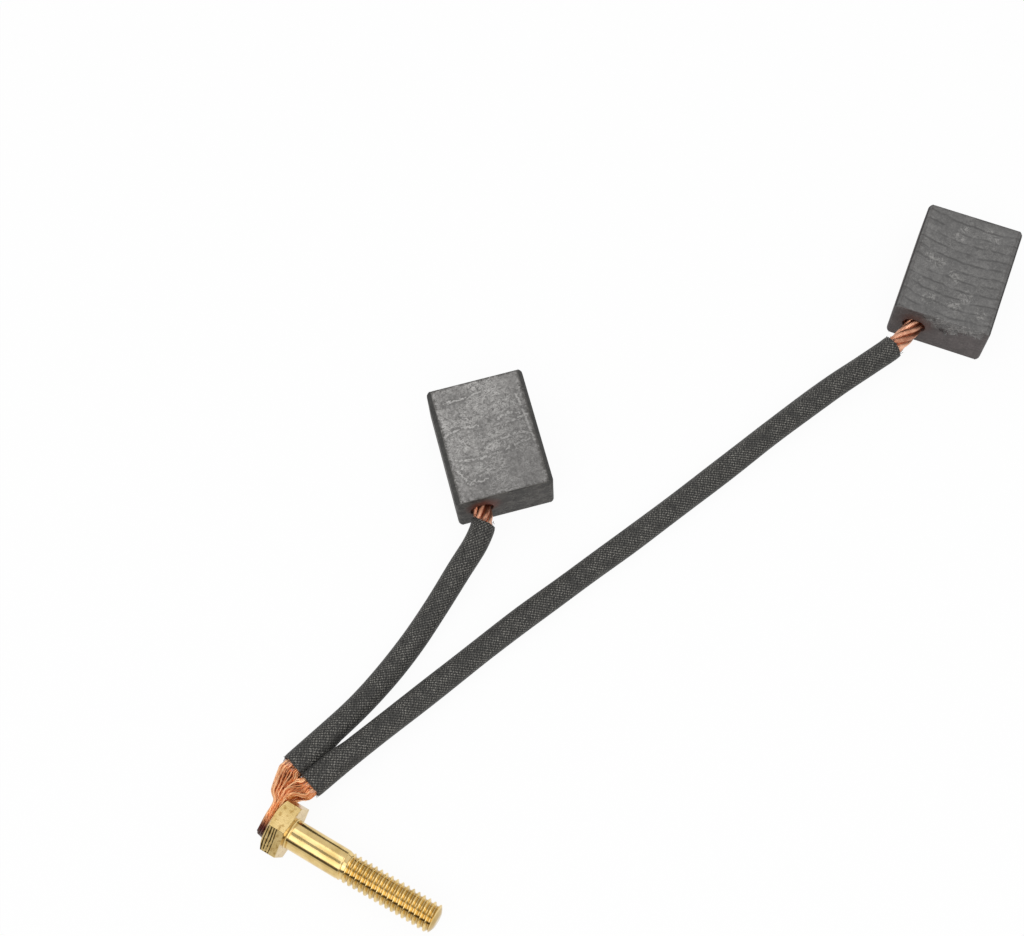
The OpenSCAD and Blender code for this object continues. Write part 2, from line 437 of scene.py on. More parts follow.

        # Copper dust and flux have browned the carbon close round the lead hole
        from_hole = add("VectorMath:DISTANCE", own, self.hole)
        ragged = add(PLUS, from_hole, add(TIMES, grains, 3.0))
        brown = add(TIMES, add(LESS, 1.0, add(STEP, ragged, 3.4, 6.2)), self.stain)
        # Farther out, within about 10 mm of the hole, the sides are darker
        around = add(TIMES, add(STEP, ragged, 10.5, 4.0), 0.4)
        tone = add(BLEND, add(TIMES, around, add(STEP, up, 0.7, 0.3)), tone, linear("#2c2724"))
        tone = add(BLEND, brown, tone, linear("#63362a"))

        height = add(PLUS, add(TIMES, grains, 0.8), add(TIMES, grit, 0.5))
        height = add(PLUS, height, add(TIMES, worm, 0.18 * self.crease_depth))
        height = add(PLUS, height, add(TIMES, fold, 0.6))
        height = add(LESS, height, add(TIMES, add(TIMES, groove, sawn), 1.4))
        bump = add("Bump", Strength=0.55, Distance=0.08 * MM, Height=height)
        rough = add("MapRange", grains, 0.3, 0.7, 0.5, 0.72)
        fill(shader, {"Base Color": tone, "Normal": bump, "Roughness": rough, "IOR": 1.6,
                      "Specular IOR Level": 0.2})
        return material

    @staticmethod
    def shade(code: str, factor: float) -> Colour:
        """Scales a hex colour in linear light and returns it as linear RGBA."""
        r, g, b, _ = linear(code)
        return (min(r * factor, 1.0), min(g * factor, 1.0), min(b * factor, 1.0), 1.0)


@dataclass(frozen=True)
class SleeveFinish(Finish):
    """Varnished glass-fibre sleeving, braided from black and grey yarn.

    Yarn crossings 0.55 mm apart catch the light as rows of pale dots, and the
    varnish gives a faint sheen at the rim.
    """

    girth: float = 17.28
    yarns: int = 22
    dark: str = "#1c1c1b"
    mid: str = "#3a3937"
    pale: str = "#aca9a1"

    def build(self) -> bpy.types.Material:
        """Makes the material.

        Returns:
            The finished material.
        """
        material, add, shader = self.blank()
        lay = add("UVMap", uv_map="lay")
        blur = add("TexNoise", lay, Scale=1.2, Detail=1.0)
        axes = add("SeparateXYZ", lay).outputs
        pitch = self.girth / self.yarns
        turn = 2 * math.pi / pitch
        waver = add(TIMES, add(LESS, blur, 0.5), 0.85)
        round_way = add("Math:COSINE", add(TIMES, add(PLUS, axes[0], waver), turn))
        along = add("Math:COSINE", add(TIMES, add(PLUS, axes[1], waver), turn))
        weave = add("Math:MULTIPLY_ADD", add(TIMES, round_way, along), 0.5, 0.5)
        fuzz = add("TexNoise", lay, Scale=5.0, Detail=3.0, Roughness=0.7)
        bands = add("TexNoise", lay, Scale=0.35, Detail=2.0)
        tone = add(BLEND, add(STEP, weave, 0.05, 0.5), linear(self.dark), linear(self.mid))
        # The pale dots are painted highlights where the yarns cross
        lit = add(TIMES, add(STEP, weave, 0.5, 0.95), add(STEP, fuzz, 0.4, 0.62))
        lit = add(TIMES, lit, add(STEP, bands, 0.2, 0.6))
        tone = add(BLEND, lit, tone, linear(self.pale))
        # The cut edges show the paler inside of the yarn
        fray = add("Attribute", attribute_name="fray").outputs["Fac"]
        tone = add(BLEND, add(TIMES, fray, 0.7), tone, linear("#565350"))
        height = add(PLUS, weave, add(TIMES, fuzz, 0.35))
        bump = add("Bump", Strength=0.8, Distance=0.09 * MM, Height=height)
        fill(shader, {"Base Color": tone, "Normal": bump, "Roughness": 0.62,
                      "Specular IOR Level": 0.35, "Sheen Weight": 0.08, "Sheen Roughness": 0.4})
        return material


@dataclass(frozen=True)
class CopperFinish(Finish):
    """Bare soft copper, drawn into fine wires and bunched.

    The wires are 0.1 mm thick. They are drawn here as lines about 0.3 mm
    apart, the finest that show, with painted shade in the gaps between
    them, and each bunch has its own depth of tone.
    """

    bright: str = "#ffc5a4"
    deep: str = "#8a452a"
    line_gap: float = 0.3
    burnt: bool = False

    def build(self) -> bpy.types.Material:
        """Makes the material.

        Returns:
            The finished material.
        """
        material, add, shader = self.blank()
        lay = add("UVMap", uv_map="lay")
        axes = add("SeparateXYZ", lay).outputs
        place = add("TexCoord").outputs["Object"]
        spots = add("TexNoise", place, Scale=900.0, Detail=2.0)
        skew = add(PLUS, axes[0], add(TIMES, axes[1], 0.22))
        skew = add(PLUS, skew, add(TIMES, spots, 0.16))
        wires = add("Math:MULTIPLY_ADD",
                    add("Math:SINE", add(TIMES, skew, 2 * math.pi / self.line_gap)), 0.5, 0.5)
        bunch = add("Attribute", attribute_name="bunch").outputs["Fac"]
        depth = add("Math:MULTIPLY_ADD", bunch, 0.7, 0.08)
        # Painted shade darkens the gaps between the wire lines
        depth = add("Math:MULTIPLY_ADD", add(LESS, 1.0, wires), 0.35, depth)
        depth = add("Math:MULTIPLY_ADD", add(LESS, spots, 0.5), 0.5, depth)
        tone = add(BLEND, add(STEP, depth, 0.1, 1.05), linear(self.bright), linear(self.deep))
        rough: Feed = 0.34
        if self.burnt:
            # The weld's heat has turned the pressed end purple-brown, and its
            # very end grey
            far = add("SeparateXYZ", place).outputs[1]
            ragged = add("Math:MULTIPLY_ADD", spots, 0.0022, far)
            heat = add(STEP, ragged, -0.0925, -0.096)
            ash = add(STEP, ragged, -0.0957, -0.0974)
            tone = add(BLEND, heat, tone, linear("#5a302c"))
            tone = add(BLEND, add(TIMES, ash, 0.75), tone, linear("#6d625e"))
            rough = add("Math:MULTIPLY_ADD", heat, 0.16, 0.36)
        bump = add("Bump", Strength=0.5, Distance=0.06 * MM, Height=wires)
        fill(shader, {"Base Color": tone, "Normal": bump, "Metallic": 1.0, "Roughness": rough})
        return material


@dataclass(frozen=True)
class PowderFinish(Finish):
    """Copper powder, tamped dry into the lead hole.

    It is a dull red-brown with single grains of about 0.2 mm that glint.
    """

    def build(self) -> bpy.types.Material:
        """Makes the material.

        Returns:
            The finished material.
        """
        material, add, shader = self.blank()
        place = add("TexCoord").outputs["Object"]
        grains = add("TexVoronoi", place, Scale=4500.0)
        clouds = add("TexNoise", place, Scale=900.0, Detail=3.0)
        tone = add(BLEND, add(STEP, clouds, 0.3, 0.7), linear("#3a1d15"), linear("#7c3c27"))
        glint = add("SeparateXYZ", grains.outputs["Color"])
        tone = add(BLEND, add(STEP, glint, 0.8, 0.95), tone, linear("#c9754e"))
        bump = add("Bump", Strength=0.9, Distance=0.1 * MM, Height=grains.outputs["Distance"])
        fill(shader, {"Base Color": tone, "Normal": bump, "Metallic": 0.7, "Roughness": 0.55})
        return material


@dataclass(frozen=True)
class BrassFinish(Finish):
    """Yellow brass, forged, turned and tumbled bright.

    Fine draw lines run along the bolt's axis, with a soft orange-peel from
    tumbling, so reflections are clear but have a slightly broken edge.
    """

    bright: str = "#ecd093"
    deep: str = "#d6b877"
    marked_flat: Triple = (0.0, -0.656, 0.755)
    axis_point: Triple = (0.0, -0.0946, 0.006291)

    def build(self) -> bpy.types.Material:
        """Makes the material.

        Returns:
            The finished material.
        """
        material, add, shader = self.blank()
        place = add("TexCoord").outputs["Object"]
        # Draw lines 0.25 mm apart and 4 mm long
        drawn = add("Mapping", place, Scale=(250.0, 4000.0, 4000.0))
        lines = add("TexNoise", drawn, Scale=1.0, Detail=3.0)
        peel = add("TexNoise", place, Scale=1100.0, Detail=2.0)
        clouds = add("TexNoise", place, Scale=300.0, Detail=3.0)
        tone = add(BLEND, add(STEP, clouds, 0.35, 0.75), linear(self.bright), linear(self.deep))
        axes = add("SeparateXYZ", place).outputs
        # The forged head is more dimpled and duller than the turned shank
        head = add(STEP, axes[0], -0.02535, -0.02555)
        dimples = add(TIMES, add(STEP, peel, 0.5, 0.72), add("Math:MULTIPLY_ADD", head, 0.55, 0.15))
        tone = add(BLEND, dimples, tone, linear("#a47a35"))
        tone = add(BLEND, add(TIMES, head, 0.2), tone, linear("#8f7748"))
        # Cutter marks 0.6 mm apart stand dark across one flat of the head
        normal = add("NewGeometry").outputs["Normal"]
        facing = add("VectorMath:DOT_PRODUCT", normal, self.marked_flat)
        milled = add(STEP, facing, 0.97, 0.99)
        cut = add("Mapping", place, Scale=(900.0, 200.0, 200.0))
        cuts = add("TexNoise", cut, Scale=1.0, Detail=2.0)
        phase = add("Math:MULTIPLY_ADD", axes[0], 1600.0, add(TIMES, cuts, 0.9))
        marks = add(TIMES, add(STEP, add("Math:PINGPONG", phase, 0.5), 0.31, 0.14), milled)
        marks = add(TIMES, marks, add(STEP, axes[0], -0.0264, -0.0272))
        marks = add(TIMES, marks, add(STEP, peel, 0.3, 0.42))
        tone = add(BLEND, add(TIMES, marks, 0.95), tone, linear("#33260f"))
        # Oil and oxide have darkened the roots of the thread
        off = add("VectorMath:SUBTRACT", place, self.axis_point)
        off = add("VectorMath:MULTIPLY", off, (0.0, 1.0, 1.0))
        radius = add("VectorMath:LENGTH", off)
        roots = add(TIMES, add(STEP, radius, 0.00293, 0.00262),
                    add(STEP, axes[0], -0.0131, -0.0123))
        tone = add(BLEND, add(TIMES, roots, 0.42), tone, linear("#80602a"))
        height = add("Math:MULTIPLY_ADD", peel, 0.8, lines)
        bump = add("Bump", Strength=0.22, Distance=0.03 * MM, Height=height)
        rough = add("MapRange", lines, 0.3, 0.7, 0.09, 0.18)
        rough = add("Math:MULTIPLY_ADD", add(LESS, head, milled), 0.1, rough)
        fill(shader, {"Base Color": tone, "Normal": bump, "Roughness": rough, "Metallic": 1.0})
        return material


@dataclass(frozen=True)
class TableFinish(Finish):
    """Matt white board that shows as plain white but keeps a faint shadow."""

    glow: float = 0.94

    def build(self) -> bpy.types.Material:
        """Makes the material.

        Returns:
            The finished material.
        """
        material, add, shader = self.blank()
        place = add("TexCoord").outputs["Object"]
        tooth = add("TexNoise", place, Scale=400.0, Detail=2.0)
        tone = add(BLEND, tooth, linear("#c4c4c4"), linear("#cccccc"))
        rays = add("LightPath").outputs
        seen = add(PLUS, rays["Is Camera Ray"], rays["Is Glossy Ray"])
        seen = add(PLUS, seen, rays["Is Transmission Ray"])
        seen = add("Math:MINIMUM", seen, 1.0)
        # Seen as white, while the light that it throws back is that of a pale grey board
        tone = add(BLEND, seen, tone, (1.0, 1.0, 1.0, 1.0))
        seen = add(TIMES, seen, self.glow)
        glow = add("Emission", Color=(1, 1, 1, 1), Strength=1.0)
        mixed = add("MixShader", seen, shader, glow)
        out = next(n for n in material.node_tree.nodes if n.type == "OUTPUT_MATERIAL")
        feed(out.inputs["Surface"], mixed)
        fill(shader, {"Roughness": 0.9, "Specular IOR Level": 0.1, "Base Color": tone})
        return material


# ----------------------------------------------------------------- mesh helpers


def take(*objects: bpy.types.Object) -> None:
    """Makes these objects the only selected ones, and the first one active."""
    if bpy.context.object and bpy.context.object.mode != "OBJECT":
        bpy.ops.object.mode_set(mode="OBJECT")
    bpy.ops.object.select_all(action="DESELECT")
    for item in objects:
        item.select_set(True)
    bpy.context.view_layer.objects.active = objects[0] if objects else None


@contextmanager
def editing(item: bpy.types.Object, part: Part, whole: bool = False) -> Iterator[None]:
    """Opens an object in edit mode.

    Args:
        item: The mesh object.
        part: What is selected in this stretch of work.
        whole: Whether everything is selected at first, or nothing.

    Yields:
        Nothing; the object is in edit mode meanwhile.
    """
    take(item)
    bpy.ops.object.mode_set(mode="EDIT")
    bpy.ops.mesh.select_mode(type=part.value)
    bpy.ops.mesh.select_all(action="SELECT" if whole else "DESELECT")
    yield
    bpy.ops.object.mode_set(mode="OBJECT")


def pick(item: bpy.types.Object, part: Part, test: Callable[[object], bool]) -> int:
    """Selects what passes a test in the open edit mode, and nothing else.

    Args:
        item: The mesh object, in edit mode.
        part: Vertices, edges or faces.
        test: Takes one bmesh element and says whether it is wanted.

    Returns:
        How many were selected.
    """
    bpy.ops.mesh.select_all(action="DESELECT")
    mesh = bmesh.from_edit_mesh(item.data)
    pool = {Part.VERTS: mesh.verts, Part.EDGES: mesh.edges, Part.FACES: mesh.faces}[part]
    wanted = [e for e in pool if test(e)]
    for element in wanted:
        element.select_set(True)
    mesh.select_flush_mode()
    bmesh.update_edit_mesh(item.data)
    return len(wanted)


def added(name: str) -> bpy.types.Object:
    """Names the primitive that was just added, applies its place and returns it."""
    item = bpy.context.object
    item.name = name
    item.data.name = name
    bpy.ops.object.transform_apply(location=True, rotation=True, scale=True)
    return item


def cylinder(name: str, sides: int, radius: float, height: float, middle: Triple,
             turn: Triple = (0.0, 0.0, 0.0)) -> bpy.types.Object:
    """Adds an upright cylinder, with its sizes in millimetres.

    Args:
        name: The object's name.
        sides: Corners of its circle.
        radius: Its radius.
        height: Its height.
        middle: Where its middle is.
        turn: How far it is turned about each axis, in degrees.

    Returns:
        The new object.
    """
    take()
    bpy.ops.mesh.primitive_cylinder_add(
        vertices=sides, radius=radius * MM, depth=height * MM,
        location=[place * MM for place in middle], rotation=[math.radians(a) for a in turn])
    return added(name)


def extrude(x: float, y: float, z: float) -> None:
    """Extrudes what is selected by so many millimetres along each axis."""
    bpy.ops.mesh.extrude_region_move(TRANSFORM_OT_translate={"value": (x * MM, y * MM, z * MM)})


def draw_out(item: bpy.types.Object, radius: float, level: float,
             rings: Sequence[tuple[float, float]]) -> None:
    """Draws the top of an upright turned piece out through rings.

    Args:
        item: The piece.
        radius: Radius of its top.
        level: Height of its top.
        rings: Each ring's radius and height, from the top on.
    """
    for next_radius, height in rings:
        ratio = next_radius / radius
        with editing(item, Part.FACES):
            pick(item, Part.FACES, lambda f, z=level: f.normal.z > 0.9
                 and abs(f.calc_center_median().z - z * MM) < WELD_GAP * MM)
            extrude(0.0, 0.0, height - level)
            bpy.ops.transform.resize(value=(ratio, ratio, 1.0))
        radius, level = next_radius, height


def apply_modifier(item: bpy.types.Object, kind: str, **settings: object) -> None:
    """Adds a modifier with its settings and applies it.

    Args:
        item: The object to change.
        kind: The modifier's type.
        settings: Its settings by name.
    """
    take(item)
    modifier = item.modifiers.new(kind.lower(), kind)
    for key, value in settings.items():
        setattr(modifier, key, value)
    bpy.ops.object.modifier_apply(modifier=modifier.name)


def combine(item: bpy.types.Object, tool: bpy.types.Object, operation: str) -> None:
    """Cuts, joins or intersects an object with a tool, which is used up.

    Args:
        item: The object to change.
        tool: The other solid.
        operation: DIFFERENCE, UNION or INTERSECT.
    """
    apply_modifier(item, "BOOLEAN", object=tool, operation=operation, solver="EXACT")
    bpy.data.objects.remove(tool, do_unlink=True)


def volume_of(mesh: bpy.types.Mesh) -> float:
    """Space that a closed mesh encloses, below zero where it is inside out."""
    solid = bmesh.new()
    solid.from_mesh(mesh)
    size = solid.calc_volume(signed=True)
    solid.free()
    return size


def placed(item: bpy.types.Object, matrix: Matrix) -> None:
    """Moves a finished mesh to its place and leaves the object at the origin."""
    take(item)
    item.matrix_world = matrix
    bpy.ops.object.transform_apply(location=True, rotation=True, scale=True)


def dress(item: bpy.types.Object, finish: bpy.types.Material,
          nodes: Sequence[str], angle: float = 35.0, flats: bool = False) -> bpy.types.Object:
    """Gives a piece its finish, shading and place in the model.

    Args:
        item: The finished mesh.
        finish: Its material.
        nodes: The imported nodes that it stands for.
        angle: Edges flatter than this, in degrees, are shaded smooth.
        flats: Whether its large faces are flat, and only its rounded edges are smooth.

    Returns:
        The same object.
    """
    take(item)
    bpy.ops.object.shade_smooth_by_angle(angle=math.radians(angle))
    if flats:
        apply_modifier(item, "WEIGHTED_NORMAL", keep_sharp=True, weight=80)
    item.data.materials.clear()
    item.data.materials.append(finish)
    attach(item, "root")
    if nodes:
        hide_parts(*nodes)
    LOG.info("%s: %d faces, %s", item.name, len(item.data.polygons), finish.name)
    return item


# --------------------------------------------------------------- lines and tubes


def smooth_line(points: Sequence[Sequence[float]], step: float) -> np.ndarray:
    """Runs one smooth curve through points and spaces it evenly.

    Args:
        points: Points in millimetres.
        step: Distance between the points of the result.

    Returns:
        Points on the curve, one a row.
    """
    given = np.asarray(points, float)
    padded = np.vstack([2 * given[0] - given[1], given, 2 * given[-1] - given[-2]])
    fine: list[np.ndarray] = []
    for i in range(1, len(padded) - 2):
        p0, p1, p2, p3 = padded[i - 1 : i + 3]
        gaps = [max(math.sqrt(float(np.linalg.norm(b - a))), 1e-6)
                for a, b in ((p0, p1), (p1, p2), (p2, p3))]
        t0, t1 = 0.0, gaps[0]
        t2, t3 = t1 + gaps[1], t1 + gaps[1] + gaps[2]
        t = np.linspace(t1, t2, SPLINE_STEPS, endpoint=False)[:, None]
        a1 = (t1 - t) / (t1 - t0) * p0 + (t - t0) / (t1 - t0) * p1
        a2 = (t2 - t) / (t2 - t1) * p1 + (t - t1) / (t2 - t1) * p2
        a3 = (t3 - t) / (t3 - t2) * p2 + (t - t2) / (t3 - t2) * p3
        b1 = (t2 - t) / (t2 - t0) * a1 + (t - t0) / (t2 - t0) * a2
        b2 = (t3 - t) / (t3 - t1) * a2 + (t - t1) / (t3 - t1) * a3
        fine.append((t2 - t) / (t2 - t1) * b1 + (t - t1) / (t2 - t1) * b2)
    line = np.vstack([*fine, given[-1:]])
    run = run_along(line)
    count = max(int(round(run[-1] / step)), 2)
    even = np.linspace(0.0, run[-1], count + 1)
    return np.stack([np.interp(even, run, line[:, k]) for k in range(3)], axis=1)


def run_along(line: np.ndarray) -> np.ndarray:
    """Distance along a line of points of each of them."""
    return np.r_[0.0, np.cumsum(np.linalg.norm(np.diff(line, axis=0), axis=1))]


def length_of(line: np.ndarray) -> float:
    """Length of a line of points, in its own unit."""
    return float(np.linalg.norm(np.diff(line, axis=0), axis=1).sum())


def frames(line: np.ndarray) -> tuple[np.ndarray, np.ndarray, np.ndarray]:
    """Carries two cross directions along a line without twisting them.

    Args:
        line: Points, one a row.

    Returns:
        The headings and the two cross directions at each point.
    """
    heading = np.gradient(line, axis=0)
    heading /= np.linalg.norm(heading, axis=1)[:, None]
    seed = np.array([0.0, 0.0, 1.0])
    if abs(heading[0] @ seed) > 0.9:
        seed = np.array([1.0, 0.0, 0.0])
    side = np.zeros_like(line)
    side[0] = np.cross(seed, heading[0])
    side[0] /= np.linalg.norm(side[0])
    for i in range(1, len(line)):
        kept = side[i - 1] - (side[i - 1] @ heading[i]) * heading[i]
        side[i] = kept / np.linalg.norm(kept)
    return heading, side, np.cross(heading, side)


@dataclass
class Tubes:
    """Gathers closed tubes into one mesh.

    The map named lay gives millimetres round and along each tube. The values
    named bunch and fray are set for each tube's corners.
    """

    corners: list[np.ndarray] = field(default_factory=list)
    faces: list[tuple[int, ...]] = field(default_factory=list)
    lay: list[tuple[float, float]] = field(default_factory=list)
    bunch: list[np.ndarray] = field(default_factory=list)
    fray: list[np.ndarray] = field(default_factory=list)
    count: int = 0

    def solid(self, line: np.ndarray, radius: np.ndarray | float, sides: int,
              tone: float = 0.0, fray: float = 0.0) -> None:
        """Adds a tube with closed, slightly domed ends.

        Args:
            line: Its centre line.
            radius: Its radius, or one for each point.
            sides: Corners of each ring.
            tone: The value of bunch.
            fray: The value of fray.
        """
        size = np.broadcast_to(np.asarray(radius, float), (len(line),))
        rings = self.rings(line, size, sides)
        first = self.count
        self.push(rings.reshape(-1, 3), tone, fray)
        run = run_along(line)
        self.wall(first, len(line), sides, run, float(2 * math.pi * size.mean()), True)
        heading = frames(line)[0]
        for end, way in ((0, -1.0), (len(line) - 1, 1.0)):
            tip = self.count
            self.push((line[end] + way * heading[end] * size[end] * 0.45)[None], tone, fray)
            base = first + end * sides
            for k in range(sides):
                pair = (base + k, base + (k + 1) % sides)
                self.faces.append((tip, *(pair if way > 0 else pair[::-1])))
                self.lay += [(0.0, run[end])] * 3

    def hollow(self, outer: np.ndarray, inner: np.ndarray, run: np.ndarray, girth: float) -> None:
        """Adds a tube with a bore, from its outer and inner rings.

        Args:
            outer: Outer rings, as points by ring and corner.
            inner: Inner rings, in the same order.
            run: Distance along the tube of each ring.
            girth: Way round the tube.
        """
        count, sides = outer.shape[:2]
        worn = np.zeros((count, sides))
        worn[0] = worn[-1] = 1.0
        first = self.count
        self.push(outer.reshape(-1, 3), 0.0, worn.ravel())
        self.push(inner.reshape(-1, 3), 0.0, worn.ravel())
        second = first + count * sides
        self.wall(first, count, sides, run, girth, True)
        self.wall(second, count, sides, run, girth, False)
        for ring, flip in ((0, False), (count - 1, True)):
            for k in range(sides):
                n = (k + 1) % sides
                a, b = first + ring * sides, second + ring * sides
                quad = (a + k, b + k, b + n, a + n)
                self.faces.append(quad[::-1] if flip else quad)
                self.lay += [(k * girth / sides, run[ring])] * 4

    def rings(self, line: np.ndarray, size: np.ndarray, sides: int) -> np.ndarray:
        """Rings of corners about a line, as points by ring and corner."""
        _, side, rise = frames(line)
        angle = np.linspace(0.0, 2 * math.pi, sides, endpoint=False)
        return (line[:, None] + size[:, None, None]
                * (np.cos(angle)[None, :, None] * side[:, None]
                   + np.sin(angle)[None, :, None] * rise[:, None]))

    def push(self, points: np.ndarray, tone: float, fray: float | np.ndarray) -> None:
        """Adds corners with their values."""
        self.corners.append(points)
        self.bunch.append(np.full(len(points), tone))
        self.fray.append(np.broadcast_to(np.asarray(fray, float), (len(points),)))
        self.count += len(points)

    def wall(self, first: int, count: int, sides: int, run: np.ndarray, girth: float,
             outward: bool) -> None:
        """Adds the four-sided faces between rings."""
        for i in range(count - 1):
            for k in range(sides):
                a, n = first + i * sides, (k + 1) % sides
                quad = [a + k, a + n, a + sides + n, a + sides + k]
                u0, u1 = k * girth / sides, (k + 1) * girth / sides
                lay = [(u0, run[i]), (u1, run[i]), (u1, run[i + 1]), (u0, run[i + 1])]
                self.faces.append(tuple(quad if outward else quad[::-1]))
                self.lay += lay if outward else lay[::-1]

    def made(self, name: str) -> bpy.types.Object:
        """Makes the mesh object.

        Args:
            name: Name of the piece.

        Returns:
            The new object, in metres.
        """
        mesh = bpy.data.meshes.new(name)
        mesh.from_pydata((np.vstack(self.corners) * MM).tolist(), [], self.faces)
        layer = mesh.uv_layers.new(name="lay")
        layer.data.foreach_set("uv", np.asarray(self.lay, np.float32).ravel())
        for title, values in (("bunch", self.bunch), ("fray", self.fray)):
            mesh.attributes.new(title, "FLOAT", "POINT").data.foreach_set(
                "value", np.concatenate(values).astype(np.float32))
        mesh.update()
        item = bpy.data.objects.new(name, mesh)
        bpy.context.scene.collection.objects.link(item)
        return item


# --------------------------------------------------------------------- the set


@dataclass
class Brush:
    """One carbon brush: a chamfered block with a blind hole for its lead."""

    title: str
    at: tuple[float, float]
    turn: float
    finish: CarbonFinish
    slot: Slot
    chips: Sequence[tuple[float, float, float, float]]
    flakes: Sequence[tuple[float, float, float]]
    seed: int
    length: float = 27.5
    width: float = 21.8
    thickness: float = 13.2
    chamfer: float = 1.0
    upright_round: float = 0.8
    hole_d: float = 5.2
    hole_depth: float = 11.0
    hole_offset: float = 5.4
    recess: float = 0.8
    powder_floor: float = 1.0
    rope_r: float = 2.1
    fit_gap: float = 0.04
    small_chips: int = 26

    def point(self, x: float, y: float, z: float) -> Triple:
        """A point given along the brush's width, length and height, set in place."""
        a = math.radians(self.turn)
        return (self.at[0] + x * math.cos(a) - y * math.sin(a),
                self.at[1] + x * math.sin(a) + y * math.cos(a), z)

    def in_hole(self, depth: float) -> Triple:
        """A point on the lead hole's axis, so deep below the brush's face."""
        return self.point(-self.hole_offset, depth - self.length / 2, self.thickness / 2)

    def matrix(self) -> Matrix:
        """Where the brush's own frame lies."""
        return (Matrix.Translation((self.at[0] * MM, self.at[1] * MM, 0.0))
                @ Matrix.Rotation(math.radians(self.turn), 4, "Z"))

    def build_block(self) -> bpy.types.Object:
        """Models the carbon block.

        Returns:
            The dressed piece.
        """
        take()
        bpy.ops.mesh.primitive_cube_add(
            size=1.0, location=(0.0, 0.0, self.thickness / 2 * MM),
            scale=(self.width * MM, self.length * MM, self.thickness * MM))
        block = added(f"{self.title}_block")
        half = self.length / 2 * MM
        with editing(block, Part.EDGES):
            pick(block, Part.EDGES,
                 lambda e: abs(e.verts[0].co.y - e.verts[1].co.y) > half)
            bpy.ops.mesh.bevel(offset=self.chamfer * MM, segments=1, affect="EDGES")
            # Upright edges are pressed round; the rest are worn round
            pick(block, Part.EDGES,
                 lambda e: abs(e.verts[0].co.z - e.verts[1].co.z) > self.thickness / 2 * MM)
            bpy.ops.mesh.bevel(offset=self.upright_round * MM, segments=3, affect="EDGES")
            pick(block, Part.EDGES,
                 lambda e: abs(e.verts[0].co.y - e.verts[1].co.y) > half)
            bpy.ops.mesh.bevel(offset=0.3 * MM, segments=2, affect="EDGES")
            pick(block, Part.EDGES, lambda e: all(abs(abs(v.co.y) - half) < 1e-6 for v in e.verts)
                 and e.calc_face_angle(0.0) > 1.0)
            bpy.ops.mesh.bevel(offset=0.34 * MM, segments=3, affect="EDGES")
        self.drill(block)
        self.chip(block)
        placed(block, self.matrix())
        return dress(block, self.finish.build(), [f"{self.title}_brush"], 28.0,
                     flats=True)

    def drill(self, block: bpy.types.Object) -> None:
        """Bores the lead hole, with its rim slightly broken."""
        middle = (-self.hole_offset, -self.length / 2 + self.hole_depth / 2 - 0.5,
                  self.thickness / 2)
        bit = cylinder("bit", 64, self.hole_d / 2, self.hole_depth + 1.0, middle,
                       (90.0, 0.0, 0.0))
        mouth = (-self.length / 2 + 0.12) * MM
        with editing(bit, Part.FACES):
            # Widened just above the mouth, so that the rim comes out broken
            pick(bit, Part.FACES, lambda f: f.normal.y < -0.9)
            bpy.ops.transform.translate(value=(0.0, mouth + (self.length / 2 + 1.0) * MM, 0.0))
            extrude(0.0, -0.3, 0.0)
            ratio = (self.hole_d / 2 + 0.3) / (self.hole_d / 2)
            bpy.ops.transform.resize(value=(ratio, 1.0, ratio))
            extrude(0.0, -1.0, 0.0)
        combine(block, bit, "DIFFERENCE")

    def chip(self, block: bpy.types.Object) -> None:
        """Breaks small shells out of the edges."""
        rng = np.random.default_rng(self.seed)
        half_w, half_l = self.width / 2, self.length / 2
        spots: list[tuple[float, float, float, float]] = list(self.chips)
        for _ in range(self.small_chips):
            along = rng.uniform(-0.92, 0.92)
            size = rng.uniform(0.22, 0.5)
            edge = rng.integers(0, 6)
            if edge < 4:
                end = -half_l if edge % 2 == 0 else half_l
                level = self.thickness if edge < 3 else 0.0
                spots.append((along * (half_w - 1.0), end, level, size))
            else:
                side = (-1 if edge == 4 else 1) * (half_w - self.chamfer)
                spots.append((side, along * half_l, self.thickness, size * 0.8))
        taken: list[tuple[float, float, float, float]] = []
        pieces: list[bpy.types.Object] = []
        for i, (x, y, z, size) in enumerate(spots):
            if any(math.dist((x, y, z), t[:3]) < (size + t[3]) * 1.25 for t in taken):
                continue
            taken.append((x, y, z, size))
            take()
            lean = 0.45 * size
            centre = (x + rng.uniform(-0.1, 0.1),
                      y + math.copysign(lean, y) * (abs(y) > half_l - 1),
                      z + math.copysign(lean, z - self.thickness / 2))
            bpy.ops.mesh.primitive_ico_sphere_add(
                subdivisions=2, radius=size * MM, location=[c * MM for c in centre],
                scale=(rng.uniform(0.9, 1.7), rng.uniform(0.7, 1.2), rng.uniform(0.7, 1.1)))
            shell = added(f"shell_{i}")
            with editing(shell, Part.VERTS, whole=True):
                bpy.ops.transform.vertex_random(offset=0.16 * size * MM, seed=self.seed + i)
            pieces.append(shell)
        for i, (x, z, size) in enumerate(self.flakes):
            # A wide, thin flake off the lead-end face
            take()
            bpy.ops.mesh.primitive_ico_sphere_add(
                subdivisions=3, radius=size * MM,
                location=(x * MM, (-half_l - 0.22 * size + 0.3) * MM, z * MM),
                scale=(1.15, 0.24, 1.0), rotation=(0.1, rng.uniform(-0.6, 0.6), 0.0))
            shell = added(f"flake_{i}")
            with editing(shell, Part.VERTS, whole=True):
                bpy.ops.transform.vertex_random(offset=0.09 * size * MM, seed=self.seed + 70 + i)
            pieces.append(shell)
        for shell in pieces:
            self.carve(block, shell)

    @staticmethod
    def carve(block: bpy.types.Object, shell: bpy.types.Object) -> None:
        """Cuts one shell out of the block, which is left as it was if that fails.

        Args:
            block: The block.
            shell: A closed shell that reaches into it; it is used up.
        """
        whole, room = volume_of(block.data), volume_of(shell.data)
        kept = block.data.copy()
        combine(block, shell, "DIFFERENCE")
        if not 0.0 <= whole - volume_of(block.data) <= room * 1.02:
            block.data = kept
            LOG.info("%s: one chip was left out", block.name)

